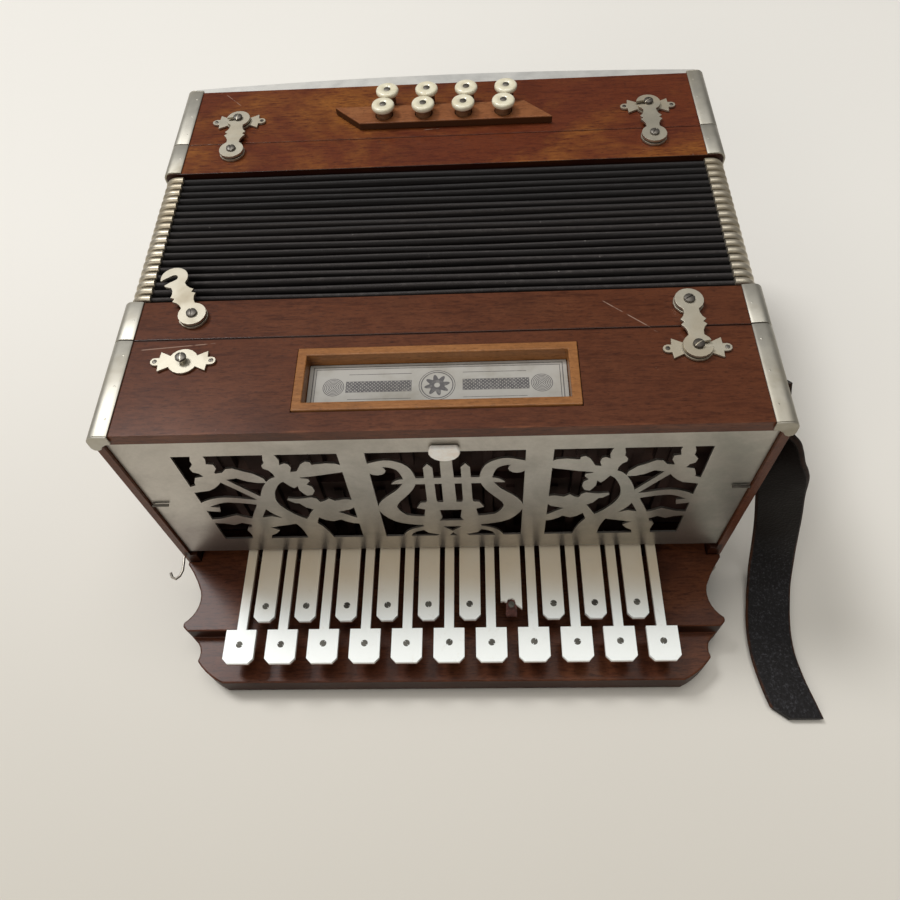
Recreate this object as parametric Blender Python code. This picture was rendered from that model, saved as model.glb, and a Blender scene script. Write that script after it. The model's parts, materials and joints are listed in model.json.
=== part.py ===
"""Two-row button accordion, lying on its back, as separate solids in metres.

+X runs along the keyboard, +Y from the treble end to the bass end, +Z up.
The origin is the centre of the treble case's underside.
"""

import math

import bmesh
import bpy
from mathutils import Matrix, Vector
from mathutils.geometry import delaunay_2d_cdt

MM = 0.001

# Cases and frames
CASE_W = 0.280
CASE_H = 0.145
TREBLE_D = 0.049
TREBLE_FRAME_D = 0.022
BELLOWS_D = 0.086
BASS_FRAME_D = 0.0225
BASS_D = 0.045
SIDE_WALL = 0.007
FLAT_WALL = 0.009
EDGE_RADIUS = 0.0035
SEAM = 0.0003
FIT = 0.0003

# Locating pegs between each case and its frame
PEG_R = 0.0022
PEG_LENGTH = 0.006
PEG_X = 0.070

# Bellows
FOLDS = 18
FOLD_DEPTH = 0.014
FOLD_INSET = 0.001
BELLOWS_CORNER_R = 0.006
BELLOWS_LINING = 0.002
BELLOWS_COLLAR = 0.0008
COLLAR_INSET = 0.003

# Fingerboard
BOARD_REACH = 0.0625
BOARD_T = 0.014
CHEEK_TOP = 0.023
STEP_REACH = 0.0387
BOARD_TIP_REACH = 0.0352
BOARD_TIP_X = 0.136
BOARD_NECK_X = 0.1302
BOARD_NECK_BACK = 0.018
BOARD_NECK_SWEEP = 0.0030
BOARD_FRONT_X = 0.1142
BOARD_SHOULDER_X = 0.1288
SHOULDER_BACK = 0.0113
SHOULDER_RISE = 0.0012
TONGUE_DEPTH = 0.018

# Keys
KEY_PITCH = 0.0206
OUTER_KEYS = 11
INNER_KEYS = 10
BROKEN_KEY = 7
KEY_TOP = 0.030
TOUCH_T = 0.0032
STEM_W = 0.0047
OUTER_PLATE_W = 0.0150
OUTER_PLATE_L = 0.0168
OUTER_TIP_REACH = 0.0575
INNER_W = 0.0105
INNER_TIP_REACH = 0.0365
BROKEN_LOSS = 0.0072
KEY_CHAMFER = 0.0024
ARM_DROP = 0.0012
ARM_REACH = 0.008
LEVER_W = 0.0040
LEVER_T = 0.0024
HUB_R = 0.0042
AXLE_R = 0.00125
AXLE_DEPTH = 0.0095
HOOK_WIRE_R = 0.0007
PALLET_W = 0.0150
PALLET_H = 0.028
PALLET_T = 0.0040
OUTER_PALLET_Z = 0.093
INNER_PALLET_Z = 0.052
BORE_CLEARANCE = 0.00035

# Action board, springs and reeds of the treble end
ACTION_Y = 0.0185
ACTION_T = 0.006
AIR_HOLE_W = 0.009
AIR_HOLE_MARGIN = 0.004
SPRING_T = 0.0008
SPRING_W = 0.0020
SPRING_REACH = 0.0025
SPRING_DROP = 0.0008
REED_BLOCK_T = 0.011
REED_BLOCK_L = 0.034
REED_PLATE_T = 0.001
REED_MARGIN = 0.003
REED_BASE_T = 0.003

# Grille
GRILLE_T = 0.001
GRILLE_RECESS = 0.0015
GRILLE_MARGIN = 0.004
GRILLE_TOP_DROP = 0.0065
GRILLE_FOOT = 0.032
WINDOW_TOP_DROP = 0.0190
WINDOW_FOOT = 0.0460
LEAF_WINDOW_X = (0.0425, 0.113)
LYRE_X = 0.0027
LYRE_WINDOW_W = 0.0673
PULL_X = 0.0026
PULL_R = 0.0056
PULL_L = 0.0103
PULL_T = 0.0022
PULL_DROP = 0.013
GRILLE_PIN_R = 0.0007
GRILLE_PIN_L = 0.0075
LEFT_PIN_DROP = 0.060
RIGHT_PIN_DROP = 0.052

# Label recess
LABEL_W = 0.117
LABEL_L = 0.032
LABEL_START = 0.010
LABEL_DEPTH = 0.0068
LABEL_BEAD = 0.0040
LABEL_PROUD = 0.0009
CARD_T = 0.0006

# Latches
LATCH_INSET = 0.0328
LATCH_REACH = 0.0248
TREBLE_PIN_INSET = 0.0125
BASS_PIN_INSET = 0.0165
HOOK_R = 0.0062
HOOK_T = 0.0012
HOOK_LIFT = 0.0020
KEEPER_R = 0.0065
KEEPER_T = 0.0010
WING_REACH = 0.0122
WING_SPREAD = 0.0052
WING_NECK = 0.0020
LATCH_PIN_R = 0.0014
LATCH_HEAD_R = 0.0023
LATCH_PIN_RISE = 0.0036
LATCH_HEAD_T = 0.0012
PIVOT_R = 0.0016
PIVOT_DEPTH = 0.005
OPEN_SWING = -151.0

# Bass end
BUTTON_X = 0.0015
BUTTON_PITCH = 0.0206
BUTTON_COLUMNS = 4
FRONT_ROW = 0.0130
BACK_ROW = 0.0254
BACK_ROW_SHIFT = 0.0016
BUTTON_R = 0.0059
BUTTON_T = 0.0027
BUTTON_STEM_R = 0.0042
BUTTON_TOP = 0.0108
BUTTON_SUNK = 0.013
PLANK_T = 0.004
PLANK_DEPTH = 0.0139
PLANK_W = 0.0992
PLANK_SLANT = 0.0139
PLANK_START = 0.0067
PLANK_SHIFT = -0.0076
END_BOW = 0.0048
END_RIM = 0.0045
END_TOP_DROP = 0.0012
END_SHEET = 0.0012
END_MARGIN = 0.003

# Reeds of the bass end
BASS_REED_W = 0.200
BASS_REED_L = 0.030
BASS_REED_Z = (0.045, 0.095)

# Hand strap and air button on the bass end
STRAP_SPAN = 0.116
HAND_STRAP_W = 0.036
HAND_STRAP_T = 0.003
HAND_STRAP_RISE = 0.040
HAND_STRAP_FOOT = 0.018
AIR_INSET = 0.040
AIR_Z = 0.112
AIR_R = 0.0065
AIR_STEM_R = 0.003
AIR_TRAVEL = 0.005

# Shoulder strap
SHOULDER_W = 0.0225
SHOULDER_T = 0.0026
STUD_R = 0.0055
STUD_STEM_R = 0.0022
STUD_Y = -0.002
STUD_Z = 0.128

# Planes along Y
FACE_Y = -TREBLE_D / 2
TREBLE_BACK_Y = FACE_Y + TREBLE_D
TREBLE_FRAME_Y = TREBLE_BACK_Y + SEAM
BELLOWS_Y = TREBLE_FRAME_Y + TREBLE_FRAME_D + SEAM
BASS_FRAME_Y = BELLOWS_Y + BELLOWS_D + SEAM
BASS_Y = BASS_FRAME_Y + BASS_FRAME_D + SEAM
BASS_END_Y = BASS_Y + BASS_D
AXLE_Y = FACE_Y + AXLE_DEPTH
AXLE_Z = KEY_TOP - HUB_R - 0.0003
INNER_HALF_W = CASE_W / 2 - SIDE_WALL
LATCH_X = CASE_W / 2 - LATCH_INSET
GRILLE_HALF_W = CASE_W / 2 - GRILLE_MARGIN
AIR_X = AIR_INSET - CASE_W / 2

PARTS = bpy.data.collections.new("accordion")


def clear_scene():
    for old in list(bpy.data.objects):
        bpy.data.objects.remove(old, do_unlink=True)
    bpy.context.scene.collection.children.link(PARTS)


def material(name, colour, roughness, metallic=0.0):
    made = bpy.data.materials.new(name)
    made.use_nodes = True
    shader = made.node_tree.nodes["Principled BSDF"]
    shader.inputs["Base Color"].default_value = (*colour, 1.0)
    shader.inputs["Roughness"].default_value = roughness
    shader.inputs["Metallic"].default_value = metallic
    return made


# Outlines, as lists of (a, b) points


def circle(centre, radius, steps=16):
    turns = [2 * math.pi * i / steps for i in range(steps)]
    return [(centre[0] + radius * math.cos(t), centre[1] + radius * math.sin(t)) for t in turns]


def rectangle(low, high):
    return [(low[0], low[1]), (high[0], low[1]), (high[0], high[1]), (low[0], high[1])]


def round_rectangle(low, high, radius, steps=4):
    points = []
    corners = (
        (high[0] - radius, low[1] + radius, -90),
        (high[0] - radius, high[1] - radius, 0),
        (low[0] + radius, high[1] - radius, 90),
        (low[0] + radius, low[1] + radius, 180),
    )
    for x, y, start in corners:
        for i in range(steps):
            angle = math.radians(start + 90 * i / (steps - 1))
            points.append((x + radius * math.cos(angle), y + radius * math.sin(angle)))
    return points


def arc(start, end, rise, steps):
    """Points after start, up to end, of an arc whose middle stands rise to the left of the chord."""
    ax, ay = start
    bx, by = end
    chord = math.hypot(bx - ax, by - ay)
    radius = (chord * chord / 4 + rise * rise) / (2 * rise)
    nx, ny = -(by - ay) / chord, (bx - ax) / chord
    cx = (ax + bx) / 2 + nx * (rise - radius)
    cy = (ay + by) / 2 + ny * (rise - radius)
    first = math.atan2(ay - cy, ax - cx)
    sweep = math.atan2(by - cy, bx - cx) - first
    while sweep * rise > 0:
        sweep -= math.copysign(2 * math.pi, rise)
    return [
        (
            cx + abs(radius) * math.cos(first + sweep * (i + 1) / steps),
            cy + abs(radius) * math.sin(first + sweep * (i + 1) / steps),
        )
        for i in range(steps)
    ]


def curve_weights(t):
    """What four neighbouring points weigh at t, from 0 at the second to 1 at the third."""
    return (
        (-t + 2 * t * t - t**3) / 2,
        (2 - 5 * t * t + 3 * t**3) / 2,
        (t + 4 * t * t - 3 * t**3) / 2,
        (t**3 - t * t) / 2,
    )


def through(points, steps=4):
    """Points read evenly from a smooth curve through these points."""
    ends = [Vector(p) for p in (points[0], *points, points[-1])]
    found = []
    for k in range(len(points) - 1):
        for i in range(steps + (k == len(points) - 2)):
            here = sum((w * p for w, p in zip(curve_weights(i / steps), ends[k : k + 4])), Vector((0, 0)))
            found.append((here.x, here.y))
    return found


def band(line, widths):
    """The outline of a strip along a line, its width running evenly through widths."""
    left, right = [], []
    for i, (x, y) in enumerate(line):
        before, after = line[max(i - 1, 0)], line[min(i + 1, len(line) - 1)]
        along = Vector((after[0] - before[0], after[1] - before[1])).normalized()
        place = i / (len(line) - 1) * (len(widths) - 1)
        k = min(int(place), len(widths) - 2)
        half = (widths[k] + (widths[k + 1] - widths[k]) * (place - k)) / 2
        left.append((x - along.y * half, y + along.x * half))
        right.append((x + along.y * half, y - along.x * half))
    return left + right[::-1]


def leaf(root, tip, width, lobes=2, notch=0.3, bow=0.0):
    """A leaf between two points, notched between its lobes, its middle drawn towards smaller b by bow."""
    along = Vector(tip) - Vector(root)
    across = Vector((-along.y, along.x)).normalized() * width / 2
    steps = lobes * 5
    sides = {1: [], -1: []}
    for i in range(steps + 1):
        t = i / steps
        middle = Vector(root) + along * t - Vector((0, bow * 4 * t * (1 - t)))
        swell = abs(math.sin(math.pi * (0.16 + 0.84 * t))) ** 0.7 * (1 - 0.35 * t)
        for side, shift in ((1, 0.0), (-1, 0.2)):
            lobe = 1 - notch + notch * abs(math.sin(math.pi * (t * lobes + shift)))
            point = middle + across * side * max(swell * lobe, 0.05)
            sides[side].append((point.x, point.y))
    return sides[1] + sides[-1][::-1]


def inside(point, outline):
    x, y = point
    found = False
    for (ax, ay), (bx, by) in zip(outline, outline[1:] + outline[:1]):
        if (ay > y) != (by > y) and x < (bx - ax) * (y - ay) / (by - ay) + ax:
            found = not found
    return found


# Meshes


def on_plane(plane, a, b, height):
    """A point given by two coordinates in the plane XY, XZ or YZ and its height along the third axis."""
    if plane == "XY":
        return (a, b, height)
    if plane == "XZ":
        return (a, height, b)
    return (height, a, b)


def triangles(outlines):
    """The points, in millimetres, and triangles of the plane cut along every outline."""
    points, edges = [], []
    for outline in outlines:
        first = len(points)
        count = len(outline)
        points += [Vector((a / MM, b / MM)) for a, b in outline]
        edges += [(first + i, first + (i + 1) % count) for i in range(count)]
    found, _, faces, *_ = delaunay_2d_cdt(points, edges, [], 0, 1e-4)
    return found, faces


def borders(points, faces):
    """The closed lines round these triangles, in metres, without points on a straight run."""
    sides = {(a, b) for face in faces for a, b in zip(face, [*face[1:], face[0]])}
    following = {}
    for a, b in sides:
        if (b, a) not in sides:
            following.setdefault(a, []).append(b)
    loops = []
    while following:
        at = next(iter(following))
        loop = []
        while at in following:
            loop.append(at)
            after = following[at].pop()
            if not following[at]:
                del following[at]
            at = after
        kept = []
        for i, here in enumerate(loop):
            into = points[here] - points[loop[i - 1]]
            out = points[loop[(i + 1) % len(loop)]] - points[here]
            if abs(into.cross(out)) > 1e-3 * into.length * out.length:
                kept.append((points[here].x * MM, points[here].y * MM))
        loops.append(kept)
    return loops


def sheet(solids, plane, low, high, holes=(), inlays=()):
    """A slab from low to high: what lies in solids but not in holes, and all of inlays."""

    def wanted(points, face):
        middle = sum((points[i] for i in face), Vector((0, 0))) / len(face) * MM
        if any(inside(middle, o) for o in inlays):
            return True
        return any(inside(middle, o) for o in solids) and not any(inside(middle, o) for o in holes)

    points, faces = triangles([*solids, *holes, *inlays])
    points, faces = triangles(borders(points, [f for f in faces if wanted(points, f)]))
    mesh = bmesh.new()
    verts = [mesh.verts.new(on_plane(plane, v.x * MM, v.y * MM, low)) for v in points]
    for face in faces:
        if wanted(points, face):
            mesh.faces.new([verts[i] for i in face])
    bmesh.ops.delete(mesh, geom=[v for v in mesh.verts if not v.link_faces], context="VERTS")
    raised = bmesh.ops.extrude_face_region(mesh, geom=mesh.faces[:])["geom"]
    shift = Vector(on_plane(plane, 0, 0, high - low))
    bmesh.ops.translate(mesh, vec=shift, verts=[g for g in raised if isinstance(g, bmesh.types.BMVert)])
    bmesh.ops.recalc_face_normals(mesh, faces=mesh.faces[:])
    return mesh


def box(low, high):
    mesh = bmesh.new()
    bmesh.ops.create_cube(mesh, size=1.0)
    size = Vector(high) - Vector(low)
    bmesh.ops.scale(mesh, vec=size, verts=mesh.verts)
    bmesh.ops.translate(mesh, vec=(Vector(low) + Vector(high)) / 2, verts=mesh.verts)
    return mesh


def rod(start, end, radius, steps=16):
    """A cylinder between two points."""
    mesh = bmesh.new()
    along = Vector(end) - Vector(start)
    bmesh.ops.create_cone(
        mesh,
        cap_ends=True,
        segments=steps,
        radius1=radius,
        radius2=radius,
        depth=along.length,
    )
    turn = Vector((0, 0, 1)).rotation_difference(along).to_matrix().to_4x4()
    place = Matrix.Translation((Vector(start) + Vector(end)) / 2)
    bmesh.ops.transform(mesh, matrix=place @ turn, verts=mesh.verts)
    return mesh


def skin(rings, wrap=False):
    """Quads between rings of equal length, closed by end faces, or round to the first ring."""
    mesh = bmesh.new()
    loops = [[mesh.verts.new(p) for p in ring] for ring in rings]
    pairs = list(zip(loops, loops[1:]))
    if wrap:
        pairs.append((loops[-1], loops[0]))
    for one, two in pairs:
        for i in range(len(one)):
            j = (i + 1) % len(one)
            mesh.faces.new((one[i], one[j], two[j], two[i]))
    if not wrap:
        mesh.faces.new(loops[0][::-1])
        mesh.faces.new(loops[-1])
    bmesh.ops.recalc_face_normals(mesh, faces=mesh.faces[:])
    return mesh


def turned(centre, profile, steps=16):
    """A turned solid about a vertical axis, from (radius, height) pairs listed bottom to top."""
    rings = []
    for radius, height in profile:
        ring = circle((centre[0], centre[1]), radius, steps)
        rings.append([(x, y, centre[2] + height) for x, y in ring])
    return skin(rings)


def temporary(mesh):
    data = bpy.data.meshes.new("piece")
    mesh.to_mesh(data)
    mesh.free()
    made = bpy.data.objects.new("piece", data)
    bpy.context.scene.collection.objects.link(made)
    return made


def combine(base, joined=(), cut=()):
    """The base mesh with others joined to it and others cut from it, as mesh data."""
    whole = temporary(base)
    tools = []
    for meshes, operation in ((joined, "UNION"), (cut, "DIFFERENCE")):
        for mesh in meshes:
            tool = temporary(mesh)
            tools.append(tool)
            change = whole.modifiers.new(operation.lower(), "BOOLEAN")
            change.operation = operation
            change.object = tool
    bpy.context.view_layer.update()
    evaluated = whole.evaluated_get(bpy.context.evaluated_depsgraph_get())
    data = bpy.data.meshes.new_from_object(evaluated)
    for used in [whole, *tools]:
        bpy.data.objects.remove(used, do_unlink=True)
    return data


def add(name, mesh, finish, location=(0, 0, 0), turn=0.0):
    """Places mesh data, or a bmesh, as a named part whose origin is its location."""
    if isinstance(mesh, bmesh.types.BMesh):
        data = bpy.data.meshes.new(name)
        mesh.to_mesh(data)
        mesh.free()
    else:
        data = mesh
    if not data.materials:
        data.materials.append(finish)
    data.shade_smooth()
    data.set_sharp_from_angle(angle=math.radians(35))
    made = bpy.data.objects.new(name, data)
    made.location = location
    made.rotation_euler = (0, 0, math.radians(turn))
    PARTS.objects.link(made)
    return made


# Boxes of the two ends


def wall_ring(start, depth):
    half = CASE_W / 2
    outer = round_rectangle((-half, 0), (half, CASE_H), EDGE_RADIUS)
    hollow = rectangle((-INNER_HALF_W, FLAT_WALL), (INNER_HALF_W, CASE_H - FLAT_WALL))
    return sheet([outer], "XZ", start, start + depth, holes=[hollow])


def pegs(start, end, radius):
    heights = (FLAT_WALL / 2, CASE_H - FLAT_WALL / 2)
    return [rod((x, start, z), (x, end, z), radius, 10) for x in (-PEG_X, PEG_X) for z in heights]


def treble_case(wood):
    start = FACE_Y + LABEL_START
    grille_half = GRILLE_HALF_W + FIT
    grille_back = FACE_Y + GRILLE_RECESS + GRILLE_T + FIT
    rebate = box(
        (-grille_half, FACE_Y - 1 * MM, GRILLE_FOOT - 2 * MM),
        (grille_half, grille_back, CASE_H - GRILLE_TOP_DROP + FIT),
    )
    pocket = box(
        (-LABEL_W / 2 - FIT, start - FIT, CASE_H - LABEL_DEPTH),
        (LABEL_W / 2 + FIT, start + LABEL_L + FIT, CASE_H + 1 * MM),
    )
    axle_r = AXLE_R + BORE_CLEARANCE
    axle_hole = rod((-CASE_W, AXLE_Y, AXLE_Z), (CASE_W, AXLE_Y, AXLE_Z), axle_r, 12)
    holes = pegs(TREBLE_BACK_Y - PEG_LENGTH - FIT, TREBLE_BACK_Y + 1 * MM, PEG_R + FIT)
    ring = wall_ring(FACE_Y, TREBLE_D)
    add("treble_case", combine(ring, cut=[rebate, pocket, axle_hole, *holes]), wood)


def pivot_hole(x, y):
    return rod((x, y, CASE_H - PIVOT_DEPTH - FIT), (x, y, CASE_H + 1 * MM), PIVOT_R + FIT, 12)


def treble_frame(wood):
    end = TREBLE_BACK_Y - PEG_LENGTH
    joined = pegs(end, TREBLE_FRAME_Y + 2 * MM, PEG_R)
    pivot_y = TREBLE_BACK_Y - TREBLE_PIN_INSET + LATCH_REACH
    holes = [pivot_hole(x, pivot_y) for x in (-LATCH_X, LATCH_X)]
    add("treble_frame", combine(wall_ring(TREBLE_FRAME_Y, TREBLE_FRAME_D), joined, holes), wood)


def bass_frame(wood):
    end = BASS_Y + PEG_LENGTH
    joined = pegs(BASS_Y - 2 * MM, end, PEG_R)
    pivot_y = BASS_Y + BASS_PIN_INSET - LATCH_REACH
    holes = [pivot_hole(x, pivot_y) for x in (-LATCH_X, LATCH_X)]
    add("bass_frame", combine(wall_ring(BASS_FRAME_Y, BASS_FRAME_D), joined, holes), wood)


def button_places():
    """(x, y) of each bass button, the front row first."""
    rows = ((FRONT_ROW, 0.0), (BACK_ROW, BACK_ROW_SHIFT))
    middle = (BUTTON_COLUMNS - 1) / 2
    return [
        (BUTTON_X + shift + (i - middle) * BUTTON_PITCH, BASS_Y + y)
        for y, shift in rows
        for i in range(BUTTON_COLUMNS)
    ]


def bass_case(wood):
    holes = pegs(BASS_Y - 1 * MM, BASS_Y + PEG_LENGTH + FIT, PEG_R + FIT)
    for x, y in button_places():
        low = (x, y, CASE_H - FLAT_WALL - 1 * MM)
        holes.append(rod(low, (x, y, CASE_H + 1 * MM), BUTTON_STEM_R + BORE_CLEARANCE, 16))
    add("bass_case", combine(wall_ring(BASS_Y, BASS_D), cut=holes), wood)


def bellows(cloth):
    """Folds as a ring of ridges and valleys round a plain bore, with a flat collar on each frame."""

    def ring(y, inset, radius):
        half = CASE_W / 2 - inset
        outline = round_rectangle((-half, inset), (half, CASE_H - inset), radius)
        return [(x, y, z) for x, z in outline]

    first, last = BELLOWS_Y, BELLOWS_Y + BELLOWS_D
    start, end = first + BELLOWS_COLLAR, last - BELLOWS_COLLAR
    pitch = (end - start) / FOLDS
    valley = FOLD_INSET + FOLD_DEPTH
    lining = valley + BELLOWS_LINING
    outside = [(first, COLLAR_INSET), (start, COLLAR_INSET), (start, valley)]
    for i in range(FOLDS):
        outside += [(start + (i + 0.5) * pitch, FOLD_INSET), (start + (i + 1) * pitch, valley)]
    outside += [(end, COLLAR_INSET), (last, COLLAR_INSET)]
    rings = [ring(y, inset, BELLOWS_CORNER_R) for y, inset in [*outside, (last, lining), (first, lining)]]
    add("bellows", skin(rings, wrap=True), cloth)


# Keyboard


def board_outline():
    """The fingerboard from above, with its tongue inside the case."""
    front = FACE_Y - BOARD_REACH
    tip = FACE_Y - BOARD_TIP_REACH
    half = [(BOARD_FRONT_X, front)]
    half += arc(half[-1], (BOARD_SHOULDER_X, front + SHOULDER_BACK), -SHOULDER_RISE, 5)
    half += arc(half[-1], (BOARD_NECK_X - 0.4 * MM, tip - 7 * MM), 1.3 * MM, 4)
    half += [(BOARD_TIP_X, tip - 1 * MM), (BOARD_TIP_X, tip + 1 * MM)]
    half += arc(half[-1], (BOARD_NECK_X, tip + BOARD_NECK_BACK), BOARD_NECK_SWEEP, 7)
    half += arc(half[-1], (CASE_W / 2 - 0.5 * MM, FACE_Y - 2 * MM), 0.6 * MM, 3)
    half += [(CASE_W / 2 - 0.5 * MM, FACE_Y - FIT), (INNER_HALF_W - FIT, FACE_Y - FIT)]
    half += [(INNER_HALF_W - FIT, FACE_Y + TONGUE_DEPTH)]
    return half + [(-x, y) for x, y in reversed(half)]


def key_places(count):
    return [(i - (count - 1) / 2) * KEY_PITCH for i in range(count)]


def fingerboard(wood):
    well_half = key_places(OUTER_KEYS)[-1] + STEM_W / 2 + 0.8 * MM
    step = FACE_Y - STEP_REACH
    well = sheet(
        [
            rectangle((-CASE_W, FACE_Y - 2 * BOARD_REACH), (CASE_W, step)),
            rectangle((-well_half, step - 1 * MM), (well_half, FACE_Y + 2 * TONGUE_DEPTH)),
        ],
        "XY",
        BOARD_T,
        CHEEK_TOP + 1 * MM,
    )
    under = box(
        (-CASE_W, FACE_Y - FIT, -1 * MM),
        (CASE_W, FACE_Y + 2 * TONGUE_DEPTH, FLAT_WALL + FIT),
    )
    board = sheet([board_outline()], "XY", 0, CHEEK_TOP)
    add("fingerboard", combine(board, cut=[well, under]), wood)


def lever(pallet_z):
    """The hub, its short arm under the touch plate and its upright, at x = 0 with the axle at the origin."""
    hub = circle((0, 0), HUB_R, 12)
    bore = circle((0, 0), AXLE_R + BORE_CLEARANCE, 10)
    top = KEY_TOP - AXLE_Z
    arm = rectangle((-ARM_REACH, top - TOUCH_T - ARM_DROP), (0, top - TOUCH_T / 2))
    back = ACTION_Y - AXLE_DEPTH - FIT - PALLET_T + 0.8 * MM
    upright = [
        (-0.5 * MM, 0.8 * MM),
        (2 * MM, -3 * MM),
        (back, 5 * MM),
        (back, pallet_z - AXLE_Z + PALLET_H * 0.8),
        (back - LEVER_T, pallet_z - AXLE_Z + PALLET_H * 0.8),
        (back - LEVER_T, 6 * MM),
    ]
    return sheet([hub, arm, upright], "YZ", -LEVER_W / 2, LEVER_W / 2, holes=[bore])


def pallet(pallet_z):
    face = ACTION_Y - AXLE_DEPTH - FIT
    low = (-PALLET_W / 2, face - PALLET_T, pallet_z - AXLE_Z)
    return box(low, (PALLET_W / 2, face, pallet_z - AXLE_Z + PALLET_H))


def touch(outline):
    top = KEY_TOP - AXLE_Z
    plate = [(x, y - AXLE_DEPTH) for x, y in outline]
    return sheet([plate], "XY", top - TOUCH_T, top)


def outer_touch():
    tip, root = -OUTER_TIP_REACH, AXLE_DEPTH + 1 * MM
    neck = tip + OUTER_PLATE_L
    wide, narrow, cut = OUTER_PLATE_W / 2, STEM_W / 2, KEY_CHAMFER
    half = [(wide - cut, tip), (wide, tip + cut), (wide, neck), (narrow, neck), (narrow, root)]
    return half + [(-x, y) for x, y in reversed(half)]


def inner_touch():
    tip, root = -INNER_TIP_REACH, AXLE_DEPTH + 1 * MM
    wide, cut = INNER_W / 2, KEY_CHAMFER
    half = [(wide - cut, tip), (wide, tip + cut), (wide, root)]
    return half + [(-x, y) for x, y in reversed(half)]


def broken_touch():
    """The inner touch plate with its end broken off unevenly."""
    end, root, wide = -INNER_TIP_REACH + BROKEN_LOSS, AXLE_DEPTH + 1 * MM, INNER_W / 2
    ragged = [
        (-wide, end + 1.9 * MM),
        (-wide * 0.72, end + 2.3 * MM),
        (-wide * 0.44, end + 1.5 * MM),
        (-wide * 0.32, end + 3.0 * MM),
        (wide * 0.02, end + 3.5 * MM),
        (wide * 0.32, end + 2.9 * MM),
        (wide * 0.42, end + 0.4 * MM),
        (wide * 0.70, end - 0.7 * MM),
        (wide, end - 1.9 * MM),
    ]
    return ragged + [(wide, root), (-wide, root)]


def keys(white):
    outer = combine(lever(OUTER_PALLET_Z), [touch(outer_touch()), pallet(OUTER_PALLET_Z)])
    inner = combine(lever(INNER_PALLET_Z), [touch(inner_touch()), pallet(INNER_PALLET_Z)])
    broken = combine(lever(INNER_PALLET_Z), [touch(broken_touch()), pallet(INNER_PALLET_Z)])
    for i, x in enumerate(key_places(OUTER_KEYS), 1):
        add(f"outer_key_{i:02d}", outer, white, (x, AXLE_Y, AXLE_Z))
    for i, x in enumerate(key_places(INNER_KEYS), 1):
        shape = broken if i == BROKEN_KEY else inner
        add(f"inner_key_{i:02d}", shape, white, (x, AXLE_Y, AXLE_Z))


def key_axle(steel):
    """One straight wire whose left end runs forward along the wall and ends in a hook beside the board."""
    wall = CASE_W / 2
    route = [(wall - 1 * MM, AXLE_Y, AXLE_Z), (-wall - 0.6 * MM, AXLE_Y, AXLE_Z)]
    bend = (
        (1.6, -1.0, 0.0),
        (1.8, -3.0, -0.1),
        (1.4, -11.0, -0.9),
        (1.3, -15.5, -1.4),
        (2.4, -18.6, -1.6),
        (4.0, -20.4, -1.2),
        (5.9, -19.6, -0.6),
        (6.8, -17.4, 0.3),
    )
    route += [(-wall - out * MM, AXLE_Y + y * MM, AXLE_Z + z * MM) for out, y, z in bend]
    rings = []
    for i, point in enumerate(route):
        before, after = Vector(route[max(i - 1, 0)]), Vector(route[min(i + 1, len(route) - 1)])
        along = (after - before).normalized()
        side = along.cross(Vector((0, 0, 1))).normalized()
        up = side.cross(along)
        radius = AXLE_R if i < 2 else HOOK_WIRE_R
        rings.append([tuple(Vector(point) + side * a + up * b) for a, b in circle((0, 0), radius, 10)])
    add("key_axle", skin(rings), steel)


def action_board(wood):
    low = (-INNER_HALF_W + FIT, FACE_Y + ACTION_Y, FLAT_WALL + FIT)
    top = CASE_H - FLAT_WALL - FIT
    body = rectangle((low[0], low[2]), (-low[0], top))
    holes = []
    height = PALLET_H - 2 * AIR_HOLE_MARGIN
    for count, z in ((OUTER_KEYS, OUTER_PALLET_Z), (INNER_KEYS, INNER_PALLET_Z)):
        for x in key_places(count):
            foot = z + AIR_HOLE_MARGIN
            holes.append(rectangle((x - AIR_HOLE_W / 2, foot), (x + AIR_HOLE_W / 2, foot + height)))
    add("action_board", sheet([body], "XZ", low[1], low[1] + ACTION_T, holes=holes), wood)


def key_springs(steel):
    """A comb screwed to the tongue, with one bent finger under each lever."""
    floor = BOARD_T + FIT
    start, end = FACE_Y + AXLE_DEPTH + 1.5 * MM, FACE_Y + TONGUE_DEPTH - 1 * MM
    half = key_places(OUTER_KEYS)[-1] + 2 * MM
    strip = box((-half, start, floor), (half, end, floor + SPRING_T * 1.2))
    front = AXLE_Y - AXLE_DEPTH + SPRING_REACH
    tip = KEY_TOP - TOUCH_T - ARM_DROP - SPRING_DROP
    finger = [
        (start + 2 * MM, floor + 0.1 * MM),
        (start + 2 * MM, floor + SPRING_T),
        (front + SPRING_T, floor + SPRING_T),
        (front + SPRING_T, tip),
        (front, tip),
        (front, floor + 0.1 * MM),
    ]
    places = key_places(OUTER_KEYS) + key_places(INNER_KEYS)
    fingers = [sheet([finger], "YZ", x - SPRING_W / 2, x + SPRING_W / 2) for x in places]
    add("key_springs", combine(strip, fingers), steel)


def reed_blocks(start, half, middles, depth):
    """A block across the width at each height, with a row of reed plates above and below."""
    shapes = []
    for middle in middles:
        low = (-half, start, middle - REED_BLOCK_T / 2)
        high = (half, start + depth, middle + REED_BLOCK_T / 2)
        shapes.append(box(low, high))
        low = (-half + REED_MARGIN, start + REED_MARGIN, low[2] - REED_PLATE_T)
        high = (half - REED_MARGIN, start + depth - REED_MARGIN, high[2] + REED_PLATE_T)
        shapes.append(box(low, high))
    return shapes


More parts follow.
